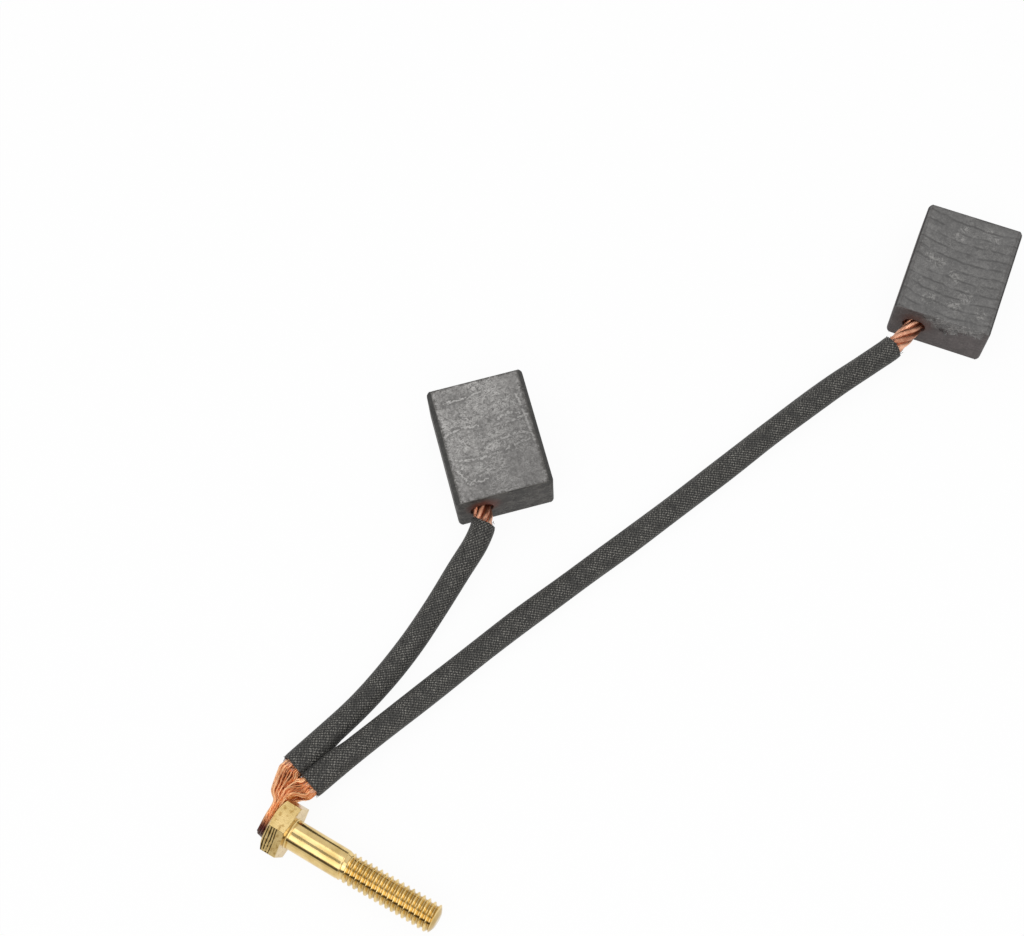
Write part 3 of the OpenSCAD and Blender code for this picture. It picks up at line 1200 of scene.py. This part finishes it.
    def build_powder(self, finish: bpy.types.Material) -> bpy.types.Object:
        """Models the tamped powder that holds the rope in the hole.

        Args:
            finish: The powder's material.

        Returns:
            The dressed piece.
        """
        outer = self.hole_d / 2 - self.fit_gap
        bore = self.rope_r + self.fit_gap
        tall = self.hole_depth - self.recess
        plug = cylinder(f"{self.title}_tamped_powder", 48, outer, tall,
                        (0.0, 0.0, self.recess + tall / 2))
        rim = (self.recess + 1e-4) * MM
        with editing(plug, Part.FACES):
            pick(plug, Part.FACES, lambda f: f.normal.z < -0.9)
            bpy.ops.mesh.inset(thickness=(outer - bore) / 2 * MM)
            bpy.ops.mesh.inset(thickness=(outer - bore) / 2 * MM)
            extrude(0.0, 0.0, tall - self.powder_floor)
            # The ring's surface is rough and lies a little lower in the middle
            middle = (outer + bore) / 2 * MM
            pick(plug, Part.VERTS, lambda v: v.co.z < rim
                 and abs(math.hypot(v.co.x, v.co.y) - middle) < 0.05 * MM)
            bpy.ops.transform.translate(value=(0.0, 0.0, 0.12 * MM))
            bpy.ops.transform.vertex_random(offset=0.1 * MM, seed=self.seed)
        down = (Matrix.Translation((-self.hole_offset * MM, -self.length / 2 * MM,
                                    self.thickness / 2 * MM))
                @ Matrix.Rotation(math.radians(-90.0), 4, "X"))
        placed(plug, self.matrix() @ down)
        return dress(plug, finish, [f"{self.title}_powder"], 40.0)


@dataclass
class Lead:
    """One lead: a stranded copper rope in a woven sleeve."""

    title: str
    route: Sequence[Triple]
    brush: Brush
    seed: int
    rope_length: float
    sleeve_length: float
    rope_d: float = 4.2
    sleeve_gap: float = 0.25
    sleeve_wall: float = 0.4
    bunches: int = 6
    twist: float = 19.0
    # How far the sleeve has slid towards the brush
    slid: float = 0.0
    bent_rings: int = 7
    yarn_ends: int = 34
    fine_step: float = 0.25

    @property
    def sleeve_r(self) -> float:
        """Outer radius of the sleeve."""
        return self.rope_d / 2 + self.sleeve_gap + self.sleeve_wall

    def raised(self) -> list[Triple]:
        """The route with its heights counted from the floor."""
        return [(x, y, lift + self.sleeve_r) for x, y, lift in self.route]

    def centre(self, step: float) -> np.ndarray:
        """The rope's whole centre line, from the weld into the brush."""
        inner = [self.brush.in_hole(d) for d in (0.0, 2.5, 10.0)]
        return smooth_line([*self.raised(), *inner], step)

    def start(self) -> tuple[np.ndarray, np.ndarray]:
        """Where the rope ends at the weld, and its direction out of the sleeve."""
        first, second = (np.array(p) for p in self.raised()[:2])
        return first, (first - second) / np.linalg.norm(first - second)

    def build_rope(self, finish: bpy.types.Material) -> bpy.types.Object:
        """Models the rope: six bunches of wire laid round a seventh.

        Args:
            finish: The bare copper's material.

        Returns:
            The dressed piece.
        """
        rng = np.random.default_rng(self.seed)
        line = self.centre(0.7)
        _, side, rise = frames(line)
        run = run_along(line)
        wire_r = self.rope_d / 6
        tubes = Tubes()
        tubes.solid(line, wire_r * 1.05, 10, tone=0.6)
        for i in range(self.bunches):
            turn = 2 * math.pi * (i / self.bunches + run / self.twist) + rng.uniform(-0.06, 0.06)
            reach = (self.rope_d / 2 - wire_r * 1.03) * (
                1 - 0.02 * (1 + np.sin(run / 3.1 + rng.uniform(0, 6))))
            strand = (line + (reach * np.cos(turn))[:, None] * side
                      + (reach * np.sin(turn))[:, None] * rise)
            tubes.solid(strand, wire_r * 1.03, 12, tone=float(rng.uniform(0.0, 0.7)))
        rope = tubes.made(f"{self.title}_stranded_rope")
        LOG.info("%s rope is %.1f mm long", self.title, length_of(line))
        return dress(rope, finish, [f"{self.title}_rope"], 60.0)

    def build_sleeve(self, finish: bpy.types.Material,
                     beside: np.ndarray | None = None) -> bpy.types.Object:
        """Models the sleeve: a woven tube with square-cut, slightly frayed ends.

        Args:
            finish: The sleeving's material.
            beside: Centre line of the other sleeve, which it touches near the weld.

        Returns:
            The dressed piece.
        """
        rng = np.random.default_rng(self.seed + 50)
        whole = self.centre(self.fine_step)
        raised = [np.array(p) for p in self.raised()]
        ends = [int(np.linalg.norm(whole - p, axis=1).argmin()) for p in (raised[1], raised[-1])]
        ends[1] += round(self.slid / self.fine_step)
        line = smooth_line(whole[ends[0] : ends[1] + 1 : 4], 0.8)
        line = np.vstack([line[0], line[0] + 0.2 * (line[1] - line[0]), line[1:-1],
                          line[-1] + 0.2 * (line[-2] - line[-1]), line[-1]])
        heading, side, rise = frames(line)
        run = run_along(line)
        sides = 44
        angle = np.linspace(0.0, 2 * math.pi, sides, endpoint=False)
        bulge = 0.035 * (np.sin(run[:, None] / 4.3 + 2 * angle[None]) +
                         np.sin(run[:, None] / 7.9 - angle[None] + self.seed))
        outer_r = self.sleeve_r - 0.04 + bulge
        ring = (np.cos(angle)[None, :, None] * side[:, None]
                + np.sin(angle)[None, :, None] * rise[:, None])
        if beside is not None:
            # Near the weld the two sleeves are pressed together, flat side to flat side
            near = beside[np.linalg.norm(beside[None] - line[:, None], axis=2).argmin(axis=1)]
            towards = near - line
            reach = np.linalg.norm(towards, axis=1)
            facing = np.einsum("ijk,ik->ij", ring, towards / reach[:, None])
            drawn = np.minimum(reach[:, None] / 2 / np.maximum(facing, 0.3), outer_r + 0.4)
            share = np.clip((11.0 - run) / 4.0, 0.0, 1.0)[:, None] * (facing > 0.55)
            outer_r = outer_r + share * np.maximum(drawn - outer_r, 0.0)
        outer = line[:, None] + outer_r[:, :, None] * ring
        inner = line[:, None] + (outer_r - self.sleeve_wall)[:, :, None] * ring
        # The sleeve was cut while it lay straight, so its mouth at the brush is oblique
        straight = heading[-1 - self.bent_rings]
        for i in range(self.bent_rings):
            at = -1 - i
            lean = (outer[at] - line[at]) @ straight / (heading[at] @ straight)
            shift = ((i / self.bent_rings - 1.0) * 0.85 * lean)[:, None] * heading[at][None]
            outer[at] += shift
            inner[at] += shift
        for end, way in ((0, -1.0), (-1, 1.0)):
            ragged = 0.1 * np.sin(3 * angle + self.seed + end) + rng.uniform(-0.07, 0.07, sides)
            shift = (way * ragged)[:, None] * heading[end][None]
            outer[end] += shift
            inner[end] += shift
            # The knife has turned the outer edge in
            outer[end] -= 0.22 * ring[end]
            outer[end - int(way)] -= 0.05 * ring[end]
        tubes = Tubes()
        tubes.hollow(outer, inner, run, 2 * math.pi * self.sleeve_r)
        for edge in Edge:
            self.add_fray(tubes, edge, line, heading, ring, rng)
        sleeve = tubes.made(f"{self.title}_woven_sleeve")
        LOG.info("%s sleeve is %.1f mm long", self.title, length_of(line))
        return dress(sleeve, finish, [f"{self.title}_sleeve"], 50.0)

    def add_fray(self, tubes: Tubes, edge: Edge, line: np.ndarray, heading: np.ndarray,
                 ring: np.ndarray, rng: np.random.Generator) -> None:
        """Lets short ends of yarn stand out of a cut edge."""
        end, way = (0, -1.0) if edge is Edge.WELD_END else (-1, 1.0)
        sides = ring.shape[1]
        for _ in range(self.yarn_ends):
            k = int(rng.integers(0, sides))
            reach = self.sleeve_r - rng.uniform(0.12, 0.34)
            root = line[end] + reach * ring[end][k] - way * 0.25 * heading[end]
            lean = way * heading[end] + rng.uniform(-0.25, 0.5) * ring[end][k]
            lean = lean + rng.uniform(-0.3, 0.3, 3)
            long = rng.uniform(0.35, 0.75)
            bend = rng.uniform(-0.12, 0.12, 3)
            yarn = np.array([root, root + lean * long * 0.5 + bend * 0.5,
                             root + lean * long + bend])
            tubes.solid(yarn, np.array([0.06, 0.05, 0.03]), 4, fray=0.9)


@dataclass
class WeldJoint:
    """Both ropes' ends, splayed, gathered and pressed onto the bolt's head."""

    leads: Sequence[Lead]
    head_face_x: float = -29.6
    axis_y: float = -94.6
    axis_z: float = 6.291
    neck_y: float = 6.509
    fan_thickness: float = 4.4
    pad_thickness: float = 2.0
    pad_height: float = 8.4
    pad_length: float = 10.2
    strays: int = 12
    rows: int = 9
    ranks: int = 7
    seed: int = 11

    def build(self, finish: bpy.types.Material) -> bpy.types.Object:
        """Models the joint.

        Args:
            finish: The welded copper's material.

        Returns:
            The dressed piece.
        """
        lug = self.build_lug()
        fan = self.build_fan()
        take(fan, lug)
        bpy.ops.object.join()
        return dress(fan, finish, ["weld_joint"], 50.0)

    def build_fan(self) -> bpy.types.Object:
        """Models the splayed bunches of wire, from the sleeves to the pad's end.

        Returns:
            The loose bunches as one object.
        """
        rng = np.random.default_rng(self.seed)
        tubes = Tubes()
        for order, lead in enumerate(self.leads):
            start, out = lead.start()
            side = np.cross([0.0, 0.0, 1.0], out)
            side /= np.linalg.norm(side)
            rise = np.cross(out, side)
            seats = []
            for i in range(self.rows * self.ranks):
                reach = 1.88 * math.sqrt((i + 0.5) / (self.rows * self.ranks))
                turn = i * GOLDEN_ANGLE
                seats.append((reach * math.cos(turn), reach * math.sin(turn)))
            seats.sort(key=lambda seat: seat[1])
            inward = 1.0 if order == 0 else -1.0
            for i in range(self.strays):
                lift = 1.7 * ((i + 0.5) / self.strays * 2 - 1)
                aside = inward * math.sqrt(2.2**2 - lift**2)
                line = self.wire_line(start, out, side * aside, rise * lift, order,
                                      lift / 4.4, rng.uniform(0.6, 0.95) if order == 0
                                      else rng.uniform(0.0, 0.3), rng)
                tubes.solid(line, 0.25 * rng.uniform(0.85, 1.1), 6, tone=float(rng.uniform(0, 1)))
            for row in range(self.rows):
                level = row / (self.rows - 1) - 0.5
                rank = sorted(seats[row * self.ranks : (row + 1) * self.ranks])
                for i, (u, v) in enumerate(rank):
                    layer = (i + 0.5) / self.ranks + rng.uniform(-0.12, 0.12)
                    line = self.wire_line(start, out, side * u, rise * v, order,
                                          level + rng.uniform(-0.04, 0.04), layer, rng)
                    run = np.linspace(0.0, 1.0, len(line))
                    size = np.interp(run, [0.0, 0.2, 0.6, 1.0], [0.25, 0.27, 0.26, 0.22])
                    tubes.solid(line, size * rng.uniform(0.8, 1.25), 6,
                                tone=float(rng.uniform(0.0, 1.0)))
        return tubes.made("weld_joint_copper_fan")

    def wire_line(self, start: np.ndarray, out: np.ndarray, aside: np.ndarray,
                  above: np.ndarray, order: int, level: float, layer: float,
                  rng: np.random.Generator) -> np.ndarray:
        """The line that one bunch of wire follows.

        Args:
            start: Where its rope ends.
            out: The rope's direction out of its sleeve.
            aside: The bunch's sideways place in the rope.
            above: The bunch's upward place in the rope.
            order: 0 for the outer lead, 1 for the inner one.
            level: Its height in the pad, from -0.5 to 0.5.
            layer: Its depth in its lead's half of the pad, from 0 to 1.
            rng: Source of small irregularities.

        Returns:
            Points along the bunch.
        """
        inward = float(aside[0]) * (1.0 if order == 0 else -1.0)
        # The outermost strays bulge sideways as soon as they are out of the sleeve
        bulge = max(inward - 1.5, 0.0) / 0.7
        mouth = start + (1.0 + 0.24 * bulge) * aside + above - 0.55 * bulge * out
        root = start + (1.0 - 0.06 * bulge) * aside + above - (1.6 + 0.4 * bulge) * out
        # Wires spread towards the other lead, and hardly outwards
        spread = 1.0 + 0.45 * max(min(inward / 1.2, 1.0), 0.0)
        reach = rng.uniform(0.7, 1.2) - 0.38 * max(inward, 0.0)
        loose = start + spread * aside + 1.1 * above + reach * out
        loose = loose + rng.uniform(-0.1, 0.1, 3)
        depth = (order + layer) / 2
        x_neck = self.head_face_x - self.fan_thickness + 0.2 + depth * (self.fan_thickness + 0.7)
        z_neck = self.axis_z + level * (self.pad_height - 1.0)
        neck = np.array([x_neck, self.axis_y + self.neck_y + 0.3, z_neck])
        neck = neck + rng.uniform(-0.2, 0.2, 3)
        fold_y = self.axis_y + self.neck_y - 0.3 * self.pad_length
        x_pad = self.head_face_x - self.pad_thickness + 0.2 + depth * (self.pad_thickness - 0.45)
        bend = np.array([(2 * min(x_neck, self.head_face_x - 0.2) + x_pad) / 3 - 0.15,
                         fold_y + 1.7, self.axis_z + level * (self.pad_height - 0.8)])
        fold = np.array([x_pad - 0.2, fold_y + 0.2, self.axis_z + level * (self.pad_height - 0.8)])
        low_y = self.axis_y + self.neck_y - self.pad_length * rng.uniform(0.93, 0.985)
        low = np.array([x_pad + 0.05, low_y, self.axis_z + level * (self.pad_height * 0.8 - 0.6)])
        middle = (fold + low) / 2 + rng.uniform(-0.12, 0.12, 3)
        for point in (bend, fold, middle, low):
            point[0] = min(point[0], self.head_face_x - 0.22)
        return smooth_line([root, mouth, loose, neck, bend, fold, middle, low], 0.42)

    def build_lug(self) -> bpy.types.Object:
        """Models the pressed pad that the bunches run into, below the head's corner."""
        take()
        top = self.axis_y + self.neck_y - 1.2
        bottom = self.axis_y + self.neck_y - self.pad_length
        thick = self.pad_thickness - 0.35
        bpy.ops.mesh.primitive_cube_add(
            size=1.0,
            location=((self.head_face_x - 0.03 - thick / 2) * MM, (top + bottom) / 2 * MM,
                      self.axis_z * MM),
            scale=(thick * MM, (top - bottom) * MM, (self.pad_height - 1.5) * MM))
        lug = added("lug")
        with editing(lug, Part.FACES):
            # Narrower at its lower end
            pick(lug, Part.FACES, lambda f: f.normal.y < -0.9)
            bpy.ops.transform.resize(value=(1.0, 1.0, 0.8))
            pick(lug, Part.EDGES, lambda e: e.calc_length() > 1.5 * MM)
            bpy.ops.mesh.bevel(offset=0.3 * MM, segments=2, affect="EDGES")
            bpy.ops.mesh.select_all(action="SELECT")
            bpy.ops.mesh.subdivide(number_cuts=2)
            pick(lug, Part.VERTS, lambda v: v.co.x < (self.head_face_x - 0.2) * MM)
            bpy.ops.transform.vertex_random(offset=0.12 * MM, seed=self.seed)
            bpy.ops.mesh.select_all(action="SELECT")
            bpy.ops.mesh.normals_make_consistent(inside=False)
        return lug


@dataclass
class TerminalBolt:
    """The terminal bolt: a hexagon head on a stud threaded over its lower part."""

    at: tuple[float, float] = (-25.5, -94.6)
    axis_z: float = 6.291
    roll: float = 11.0
    head_af: float = 11.1
    head_height: float = 4.1
    head_chamfer: float = 0.6
    stud_d: float = 6.35
    stud_length: float = 34.9
    plain_length: float = 12.6
    tip_chamfer: float = 0.95
    pitch: float = 1.27
    crest_r: float = 3.16
    root_r: float = 2.6
    sides: int = 96

    def build(self, finish: bpy.types.Material) -> bpy.types.Object:
        """Models the bolt.

        Args:
            finish: The brass's material.

        Returns:
            The dressed piece.
        """
        bolt = self.build_head()
        combine(bolt, self.build_shank(), "UNION")
        combine(bolt, self.build_thread(), "UNION")
        with editing(bolt, Part.VERTS, whole=True):
            bpy.ops.mesh.remove_doubles(threshold=2 * WELD_GAP * MM)
            bpy.ops.mesh.normals_make_consistent(inside=False)
        placed(bolt, Matrix.Translation((self.at[0] * MM, self.at[1] * MM, self.axis_z * MM))
               @ Matrix.Rotation(math.radians(self.roll), 4, "X")
               @ Matrix.Rotation(math.radians(90.0), 4, "Y"))
        bolt.name = bolt.data.name = "terminal_bolt_brass"
        return dress(bolt, finish, ["terminal_bolt"], 24.0, flats=True)

    def build_head(self) -> bpy.types.Object:
        """Models the head, with its underside on z = 0 and the chamfer below."""
        corner = self.head_af / math.sqrt(3.0)
        face = corner - self.head_chamfer / math.tan(math.radians(30.0))
        head = cylinder("head", 6, corner, self.head_height, (0.0, 0.0, -self.head_height / 2),
                        (0.0, 0.0, 30.0))
        with editing(head, Part.EDGES, whole=True):
            # Every edge of the forging is a little round
            bpy.ops.mesh.bevel(offset=0.1 * MM, segments=2, affect="EDGES")
        turned = cylinder("turned", self.sides, corner + 0.4, self.head_height + 1.0,
                          (0.0, 0.0, -self.head_height / 2 + 0.5))
        with editing(turned, Part.FACES):
            # The chamfer tool's cone, up to the head's outer face
            rise = self.head_chamfer * (corner + 0.4 - face) / (corner - face)
            pick(turned, Part.FACES, lambda f: f.normal.z < -0.9)
            bpy.ops.transform.translate(value=(0.0, 0.0, rise * MM))
            extrude(0.0, 0.0, -rise)
            ratio = face / (corner + 0.4)
            bpy.ops.transform.resize(value=(ratio, ratio, 1.0))
        combine(head, turned, "INTERSECT")
        return head

    def build_shank(self) -> bpy.types.Object:
        """Models the plain shank, with a fillet under the head and the run-out."""
        r = self.stud_d / 2
        shank = cylinder("shank", self.sides, r, 2.0, (0.0, 0.0, -1.0))
        draw_out(shank, r, 0.0, [
            (r + 0.28, 0.02), (r + 0.08, 0.16), (r, 0.36), (r, self.plain_length - 0.25),
            (r - 0.1, self.plain_length + 0.1), (self.root_r, self.plain_length + 1.7)])
        return shank

    def build_thread(self) -> bpy.types.Object:
        """Models the rolled thread, one profile screwed up the stud."""
        low, high = self.plain_length - 0.413, self.stud_length + 0.207
        turns = int((high - low) / self.pitch) + 4
        # One pitch of the profile: root, flank, crest, flank
        root, crest = self.root_r, self.crest_r
        shape = [(root, 0.0), (root, 0.13), (root + 0.05, 0.20), (crest - 0.03, 0.53),
                 (crest, 0.58), (crest, 0.72), (crest - 0.03, 0.77), (root + 0.05, 1.10),
                 (root, 1.17), (root, self.pitch)]
        take()
        bpy.ops.mesh.primitive_plane_add(size=1.0 * MM, location=(0.0, 0.0, 0.0))
        thread = added("thread")
        with editing(thread, Part.VERTS, whole=True):
            bpy.ops.mesh.merge(type="CENTER")
            bpy.ops.transform.translate(value=(root * MM, 0.0, 0.0))
            for last, point in zip(shape, shape[1:]):
                extrude(point[0] - last[0], 0.0, point[1] - last[1])
        apply_modifier(thread, "SCREW", axis="Z", angle=2 * math.pi, screw_offset=self.pitch * MM,
                       iterations=turns, steps=48, render_steps=48, use_merge_vertices=True,
                       merge_threshold=WELD_GAP * MM, use_smooth_shade=False)
        with editing(thread, Part.VERTS, whole=True):
            bpy.ops.mesh.remove_doubles(threshold=WELD_GAP * MM)
            bpy.ops.transform.translate(value=(0.0, 0.0, (low - 1.6 * self.pitch) * MM))
        for height, inner, outer in ((low, True, False), (high, False, True)):
            with editing(thread, Part.VERTS, whole=True):
                bpy.ops.mesh.bisect(plane_co=(0.0, 0.0, height * MM), plane_no=(0.0, 0.0, 1.0),
                                    use_fill=True, clear_inner=inner, clear_outer=outer,
                                    threshold=1e-5 * MM)
        with editing(thread, Part.VERTS, whole=True):
            bpy.ops.mesh.normals_make_consistent(inside=False)
        combine(thread, self.build_blank(low, high), "INTERSECT")
        return thread

    def build_blank(self, low: float, high: float) -> bpy.types.Object:
        """Models the turned blank that gives the thread its chamfered, domed tip.

        Args:
            low: Where the thread starts.
            high: Where the untrimmed thread ends; not used.

        Returns:
            The blank, wider than the thread but for its tip.
        """
        wide = self.crest_r + 0.3
        shoulder = self.stud_length - self.tip_chamfer
        blank = cylinder("blank", self.sides, wide, shoulder - low + 1.0,
                         (0.0, 0.0, (low - 1.0 + shoulder) / 2))
        draw_out(blank, wide, shoulder, [
            (self.crest_r - 0.85, self.stud_length - 0.34),
            (self.crest_r - 1.4, self.stud_length - 0.1), (1.0, self.stud_length)])
        return blank


@dataclass
class Studio:
    """Camera, table, lamps and surroundings."""

    eye: Triple = (54.77, -117.95, 365.18)
    back: Triple = (0.21165, -0.29782, 0.93086)
    up: Triple = (-0.45908, 0.81054, 0.3637)
    lens: float = 61.56

    def set_camera(self) -> None:
        """Sets the camera that looks steeply down on the set."""
        camera = bpy.data.objects.new("camera", bpy.data.cameras.new("camera"))
        camera.data.lens = self.lens
        camera.data.sensor_width = 36.0
        camera.data.clip_start, camera.data.clip_end = 0.01, 10.0
        bpy.context.scene.collection.objects.link(camera)
        back = Vector(self.back).normalized()
        right = Vector(self.up).cross(back).normalized()
        up = back.cross(right)
        turn = Matrix((right, up, back)).transposed().to_4x4()
        camera.matrix_world = Matrix.Translation(Vector(self.eye) * MM) @ turn
        bpy.context.scene.camera = camera

    def lay_table(self) -> None:
        """Lays the white table that the set rests on."""
        take()
        bpy.ops.mesh.primitive_plane_add(size=6.0, location=(0.0, 0.0, -0.00002))
        table = added("table_top")
        table.data.materials.append(TableFinish("matt_white_board").build())
        table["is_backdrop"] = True

    def hang_lamp(self, name: str, place: Triple, size: tuple[float, float], power: float) -> None:
        """Hangs one soft box that faces the middle of the set.

        Args:
            name: The lamp's name.
            place: Where it hangs, in metres.
            size: Its two sides, in metres.
            power: Its power in watts.
        """
        lamp = bpy.data.lights.new(name, "AREA")
        lamp.shape = "RECTANGLE"
        lamp.size, lamp.size_y = size
        lamp.energy = power
        item = bpy.data.objects.new(name, lamp)
        item.location = place
        item.rotation_euler = (-Vector(place)).to_track_quat("-Z", "Y").to_euler()
        bpy.context.scene.collection.objects.link(item)

    def fill_world(self) -> None:
        """Fills the room: white to the camera, with a dark band low down for metal."""
        world = bpy.data.worlds.new("room")
        bpy.context.scene.world = world
        world.use_nodes = True
        world.node_tree.nodes.clear()
        add = partial(add_node, world.node_tree)
        way = add("TexCoord").outputs["Generated"]
        _, ahead, rise = add("SeparateXYZ", way).outputs
        ceiling = add(BLEND, add(STEP, rise, 0.8, 0.97), (0.82, 0.82, 0.82, 1.0),
                      (0.45, 0.45, 0.45, 1.0))
        # The dark side of the room, low down behind the camera
        low = add(LESS, 1.0, add(STEP, rise, 0.5, 0.68))
        low = add(TIMES, low, add(STEP, rise, 0.2, 0.36))
        low = add(TIMES, low, add(STEP, add(TIMES, ahead, -1.0), 0.3, 0.62))
        walls = add(BLEND, low, ceiling, (0.11, 0.1, 0.09, 1.0))
        rays = add("LightPath").outputs
        shown = add(PLUS, rays["Is Camera Ray"], rays["Is Transmission Ray"])
        shown = add("Math:MINIMUM", shown, 1.0)
        room = add(BLEND, rays["Is Glossy Ray"], (0.56, 0.56, 0.56, 1.0), walls)
        colour = add(BLEND, shown, room, (1.0, 1.0, 1.0, 1.0))
        glow = add("Background", colour, Strength=1.0)
        add("OutputWorld", glow)

    def light(self) -> None:
        """Lights the set from two large soft boxes overhead, with a gap between them."""
        self.hang_lamp("overhead_box", (0.05, 0.06, 0.75), (1.2, 0.386), 1.36)
        self.hang_lamp("front_box", (0.05, -0.53, 0.75), (1.2, 0.57), 2.4)
        self.fill_world()


SHORT_ROUTE: list[Triple] = [
    (-33.2, -83.8, 3.4), (-32.9, -82.8, 3.35),
    (-30.5, -74.0, 2.3), (-28.4, -65.0, 0.9), (-26.9, -56.0, 0.1), (-25.9, -47.0, 0.05),
    (-25.4, -38.0, 0.8), (-25.1, -29.0, 2.3), (-24.9, -21.5, 3.5), (-25.7, -17.4, 3.8),
]
LONG_ROUTE: list[Triple] = [
    (-27.7, -85.45, 3.4), (-27.4, -84.45, 3.35),
    (-24.7, -76.0, 2.8), (-21.5, -67.0, 2.1), (-18.2, -58.0, 1.3), (-14.9, -49.0, 0.6),
    (-11.6, -40.0, 0.15), (-8.1, -31.0, 0.05), (-4.3, -22.0, 0.05), (-0.5, -13.0, 0.05),
    (3.4, -4.0, 0.05), (7.1, 5.0, 0.05), (10.7, 14.0, 0.1), (14.3, 23.0, 0.4),
    (17.9, 32.0, 0.9), (21.8, 41.0, 1.6), (25.9, 50.0, 2.4), (29.9, 58.0, 3.1),
    (33.1, 64.9, 3.6),
]


def make_brushes() -> tuple[Brush, Brush]:
    """Describes the two brushes.

    Returns:
        The brush on the short lead and the brush on the long one.
    """
    short_at, short_turn = (-33.4, -1.3), 45.0
    long_at, long_turn = (37.8, 85.5), 9.0
    short = Brush(
        "short_lead", short_at, short_turn,
        CarbonFinish(
            "tumbled_electrographite", short_at, short_turn, face_tone="#868482",
            side_tone="#484643", pale_tone="#c4c2bf", saw_depth=0.0, crease_depth=1.35,
            mottle=0.85, stain=0.9, dark_corner=0.46,
            creases=(((0.6, 10.7), (-2.4, 10.0), (-7.7, 10.0)),
                     ((9.5, 2.9), (6.9, 2.4), (3.4, 1.5)),
                     ((9.3, -1.8), (6.2, -0.8), (2.2, -1.3)),
                     ((9.2, -2.9), (6.2, -3.2), (2.1, -4.2), (-3.0, -4.7), (-8.3, -3.9)),
                     ((8.2, 8.5), (8.9, 2.4), (9.4, -3.6)),
                     ((7.9, 3.6), (5.4, 4.4), (3.0, 3.4)),
                     ((-9.3, 2.4), (-5.6, 3.4), (-1.6, 2.9)),
                     ((-8.6, -6.2), (-6.6, -10.0), (-3.8, -8.4)),
                     ((-5.2, -9.7), (-2.5, -9.6)))),
        Slot.SHORT_CARBON,
        # Along the width, the length and the height, and its size
        [(7.6, -13.75, 13.2, 0.6), (9.9, 9.0, 13.0, 0.45), (-2.0, -13.75, 13.2, 0.5)],
        [],
        seed=3)
    long = Brush(
        "long_lead", long_at, long_turn,
        CarbonFinish(
            "sawn_electrographite", long_at, long_turn, face_tone="#6f6e6d",
            side_tone="#5b5554", pale_tone="#a8a6a3", saw_depth=1.0, crease_depth=0.4,
            mottle=0.45, border=0.4, stain=0.35, pale_chamfer=0.9,
            chamfer_shade_tone="#262626", broken_from=-4.0, broken_to=9.4,
            scuffs=((-1.7, 9.9, 1.5), (-2.2, 7.5, 1.8), (3.6, 11.1, 1.2), (5.4, 9.6, 1.8),
                    (-7.0, 0.6, 1.7), (-4.6, 0.0, 1.8), (-0.8, -1.9, 1.6), (0.2, -3.4, 1.3),
                    (3.4, -6.6, 2.2), (-4.4, -9.6, 2.2), (1.4, -9.4, 2.0), (7.6, -9.8, 1.6))),
        Slot.LONG_CARBON,
        [(-3.4, -13.75, 13.2, 0.55), (-1.2, -13.75, 13.1, 0.45), (1.1, -13.75, 13.2, 0.6),
         (3.6, -13.75, 13.0, 0.5), (6.2, -13.75, 13.2, 0.55), (8.6, -13.75, 13.1, 0.6),
         (-2.0, 13.75, 13.2, 0.45), (4.6, 13.75, 13.2, 0.5)],
        # Along the width and the height, and its size
        [(-2.8, 12.6, 1.4), (-0.8, 10.8, 1.7), (1.9, 11.9, 2.0), (1.4, 8.9, 1.3),
         (4.6, 11.2, 1.9), (7.5, 12.6, 1.6)],
        seed=8)
    return short, long


def main() -> None:
    """Builds the set piece by piece and reports each one."""
    logging.basicConfig(level=logging.INFO, format="%(name)s: %(message)s")
    cad_box = [list(corner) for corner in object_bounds()]
    studio = Studio()
    studio.set_camera()

    short_brush, long_brush = make_brushes()
    short_lead = Lead("short_lead", SHORT_ROUTE, short_brush, 21, 81.0, 67.0, slid=0.75)
    long_lead = Lead("long_lead", LONG_ROUTE, long_brush, 34, 180.0, 160.0)
    copper = CopperFinish("bare_bunched_copper_wire").build()
    sleeving = SleeveFinish("varnished_woven_glass_sleeving").build()
    for lead, other in ((short_lead, long_lead), (long_lead, short_lead)):
        lead.build_rope(copper)
        lead.build_sleeve(sleeving, other.centre(other.fine_step)[:120])

    powder = PowderFinish("tamped_copper_powder").build()
    for brush in (short_brush, long_brush):
        brush.build_block()
        brush.build_powder(powder)

    WeldJoint((short_lead, long_lead)).build(
        CopperFinish("weld_burnt_copper_wire", bright="#ffca9a", deep="#dc8a58",
                     burnt=True).build())
    TerminalBolt().build(BrassFinish("tumbled_yellow_brass").build())

    studio.lay_table()
    studio.light()
    bpy.context.scene.view_settings.view_transform = "Standard"

    shown_box = [list(corner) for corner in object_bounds()]
    for label, (low, high) in (("cad", cad_box), ("visual", shown_box)):
        LOG.info("%s box %s mm", label, [round((b - a) * 1000, 2) for a, b in zip(low, high)])


if __name__ == "__main__":
    main()
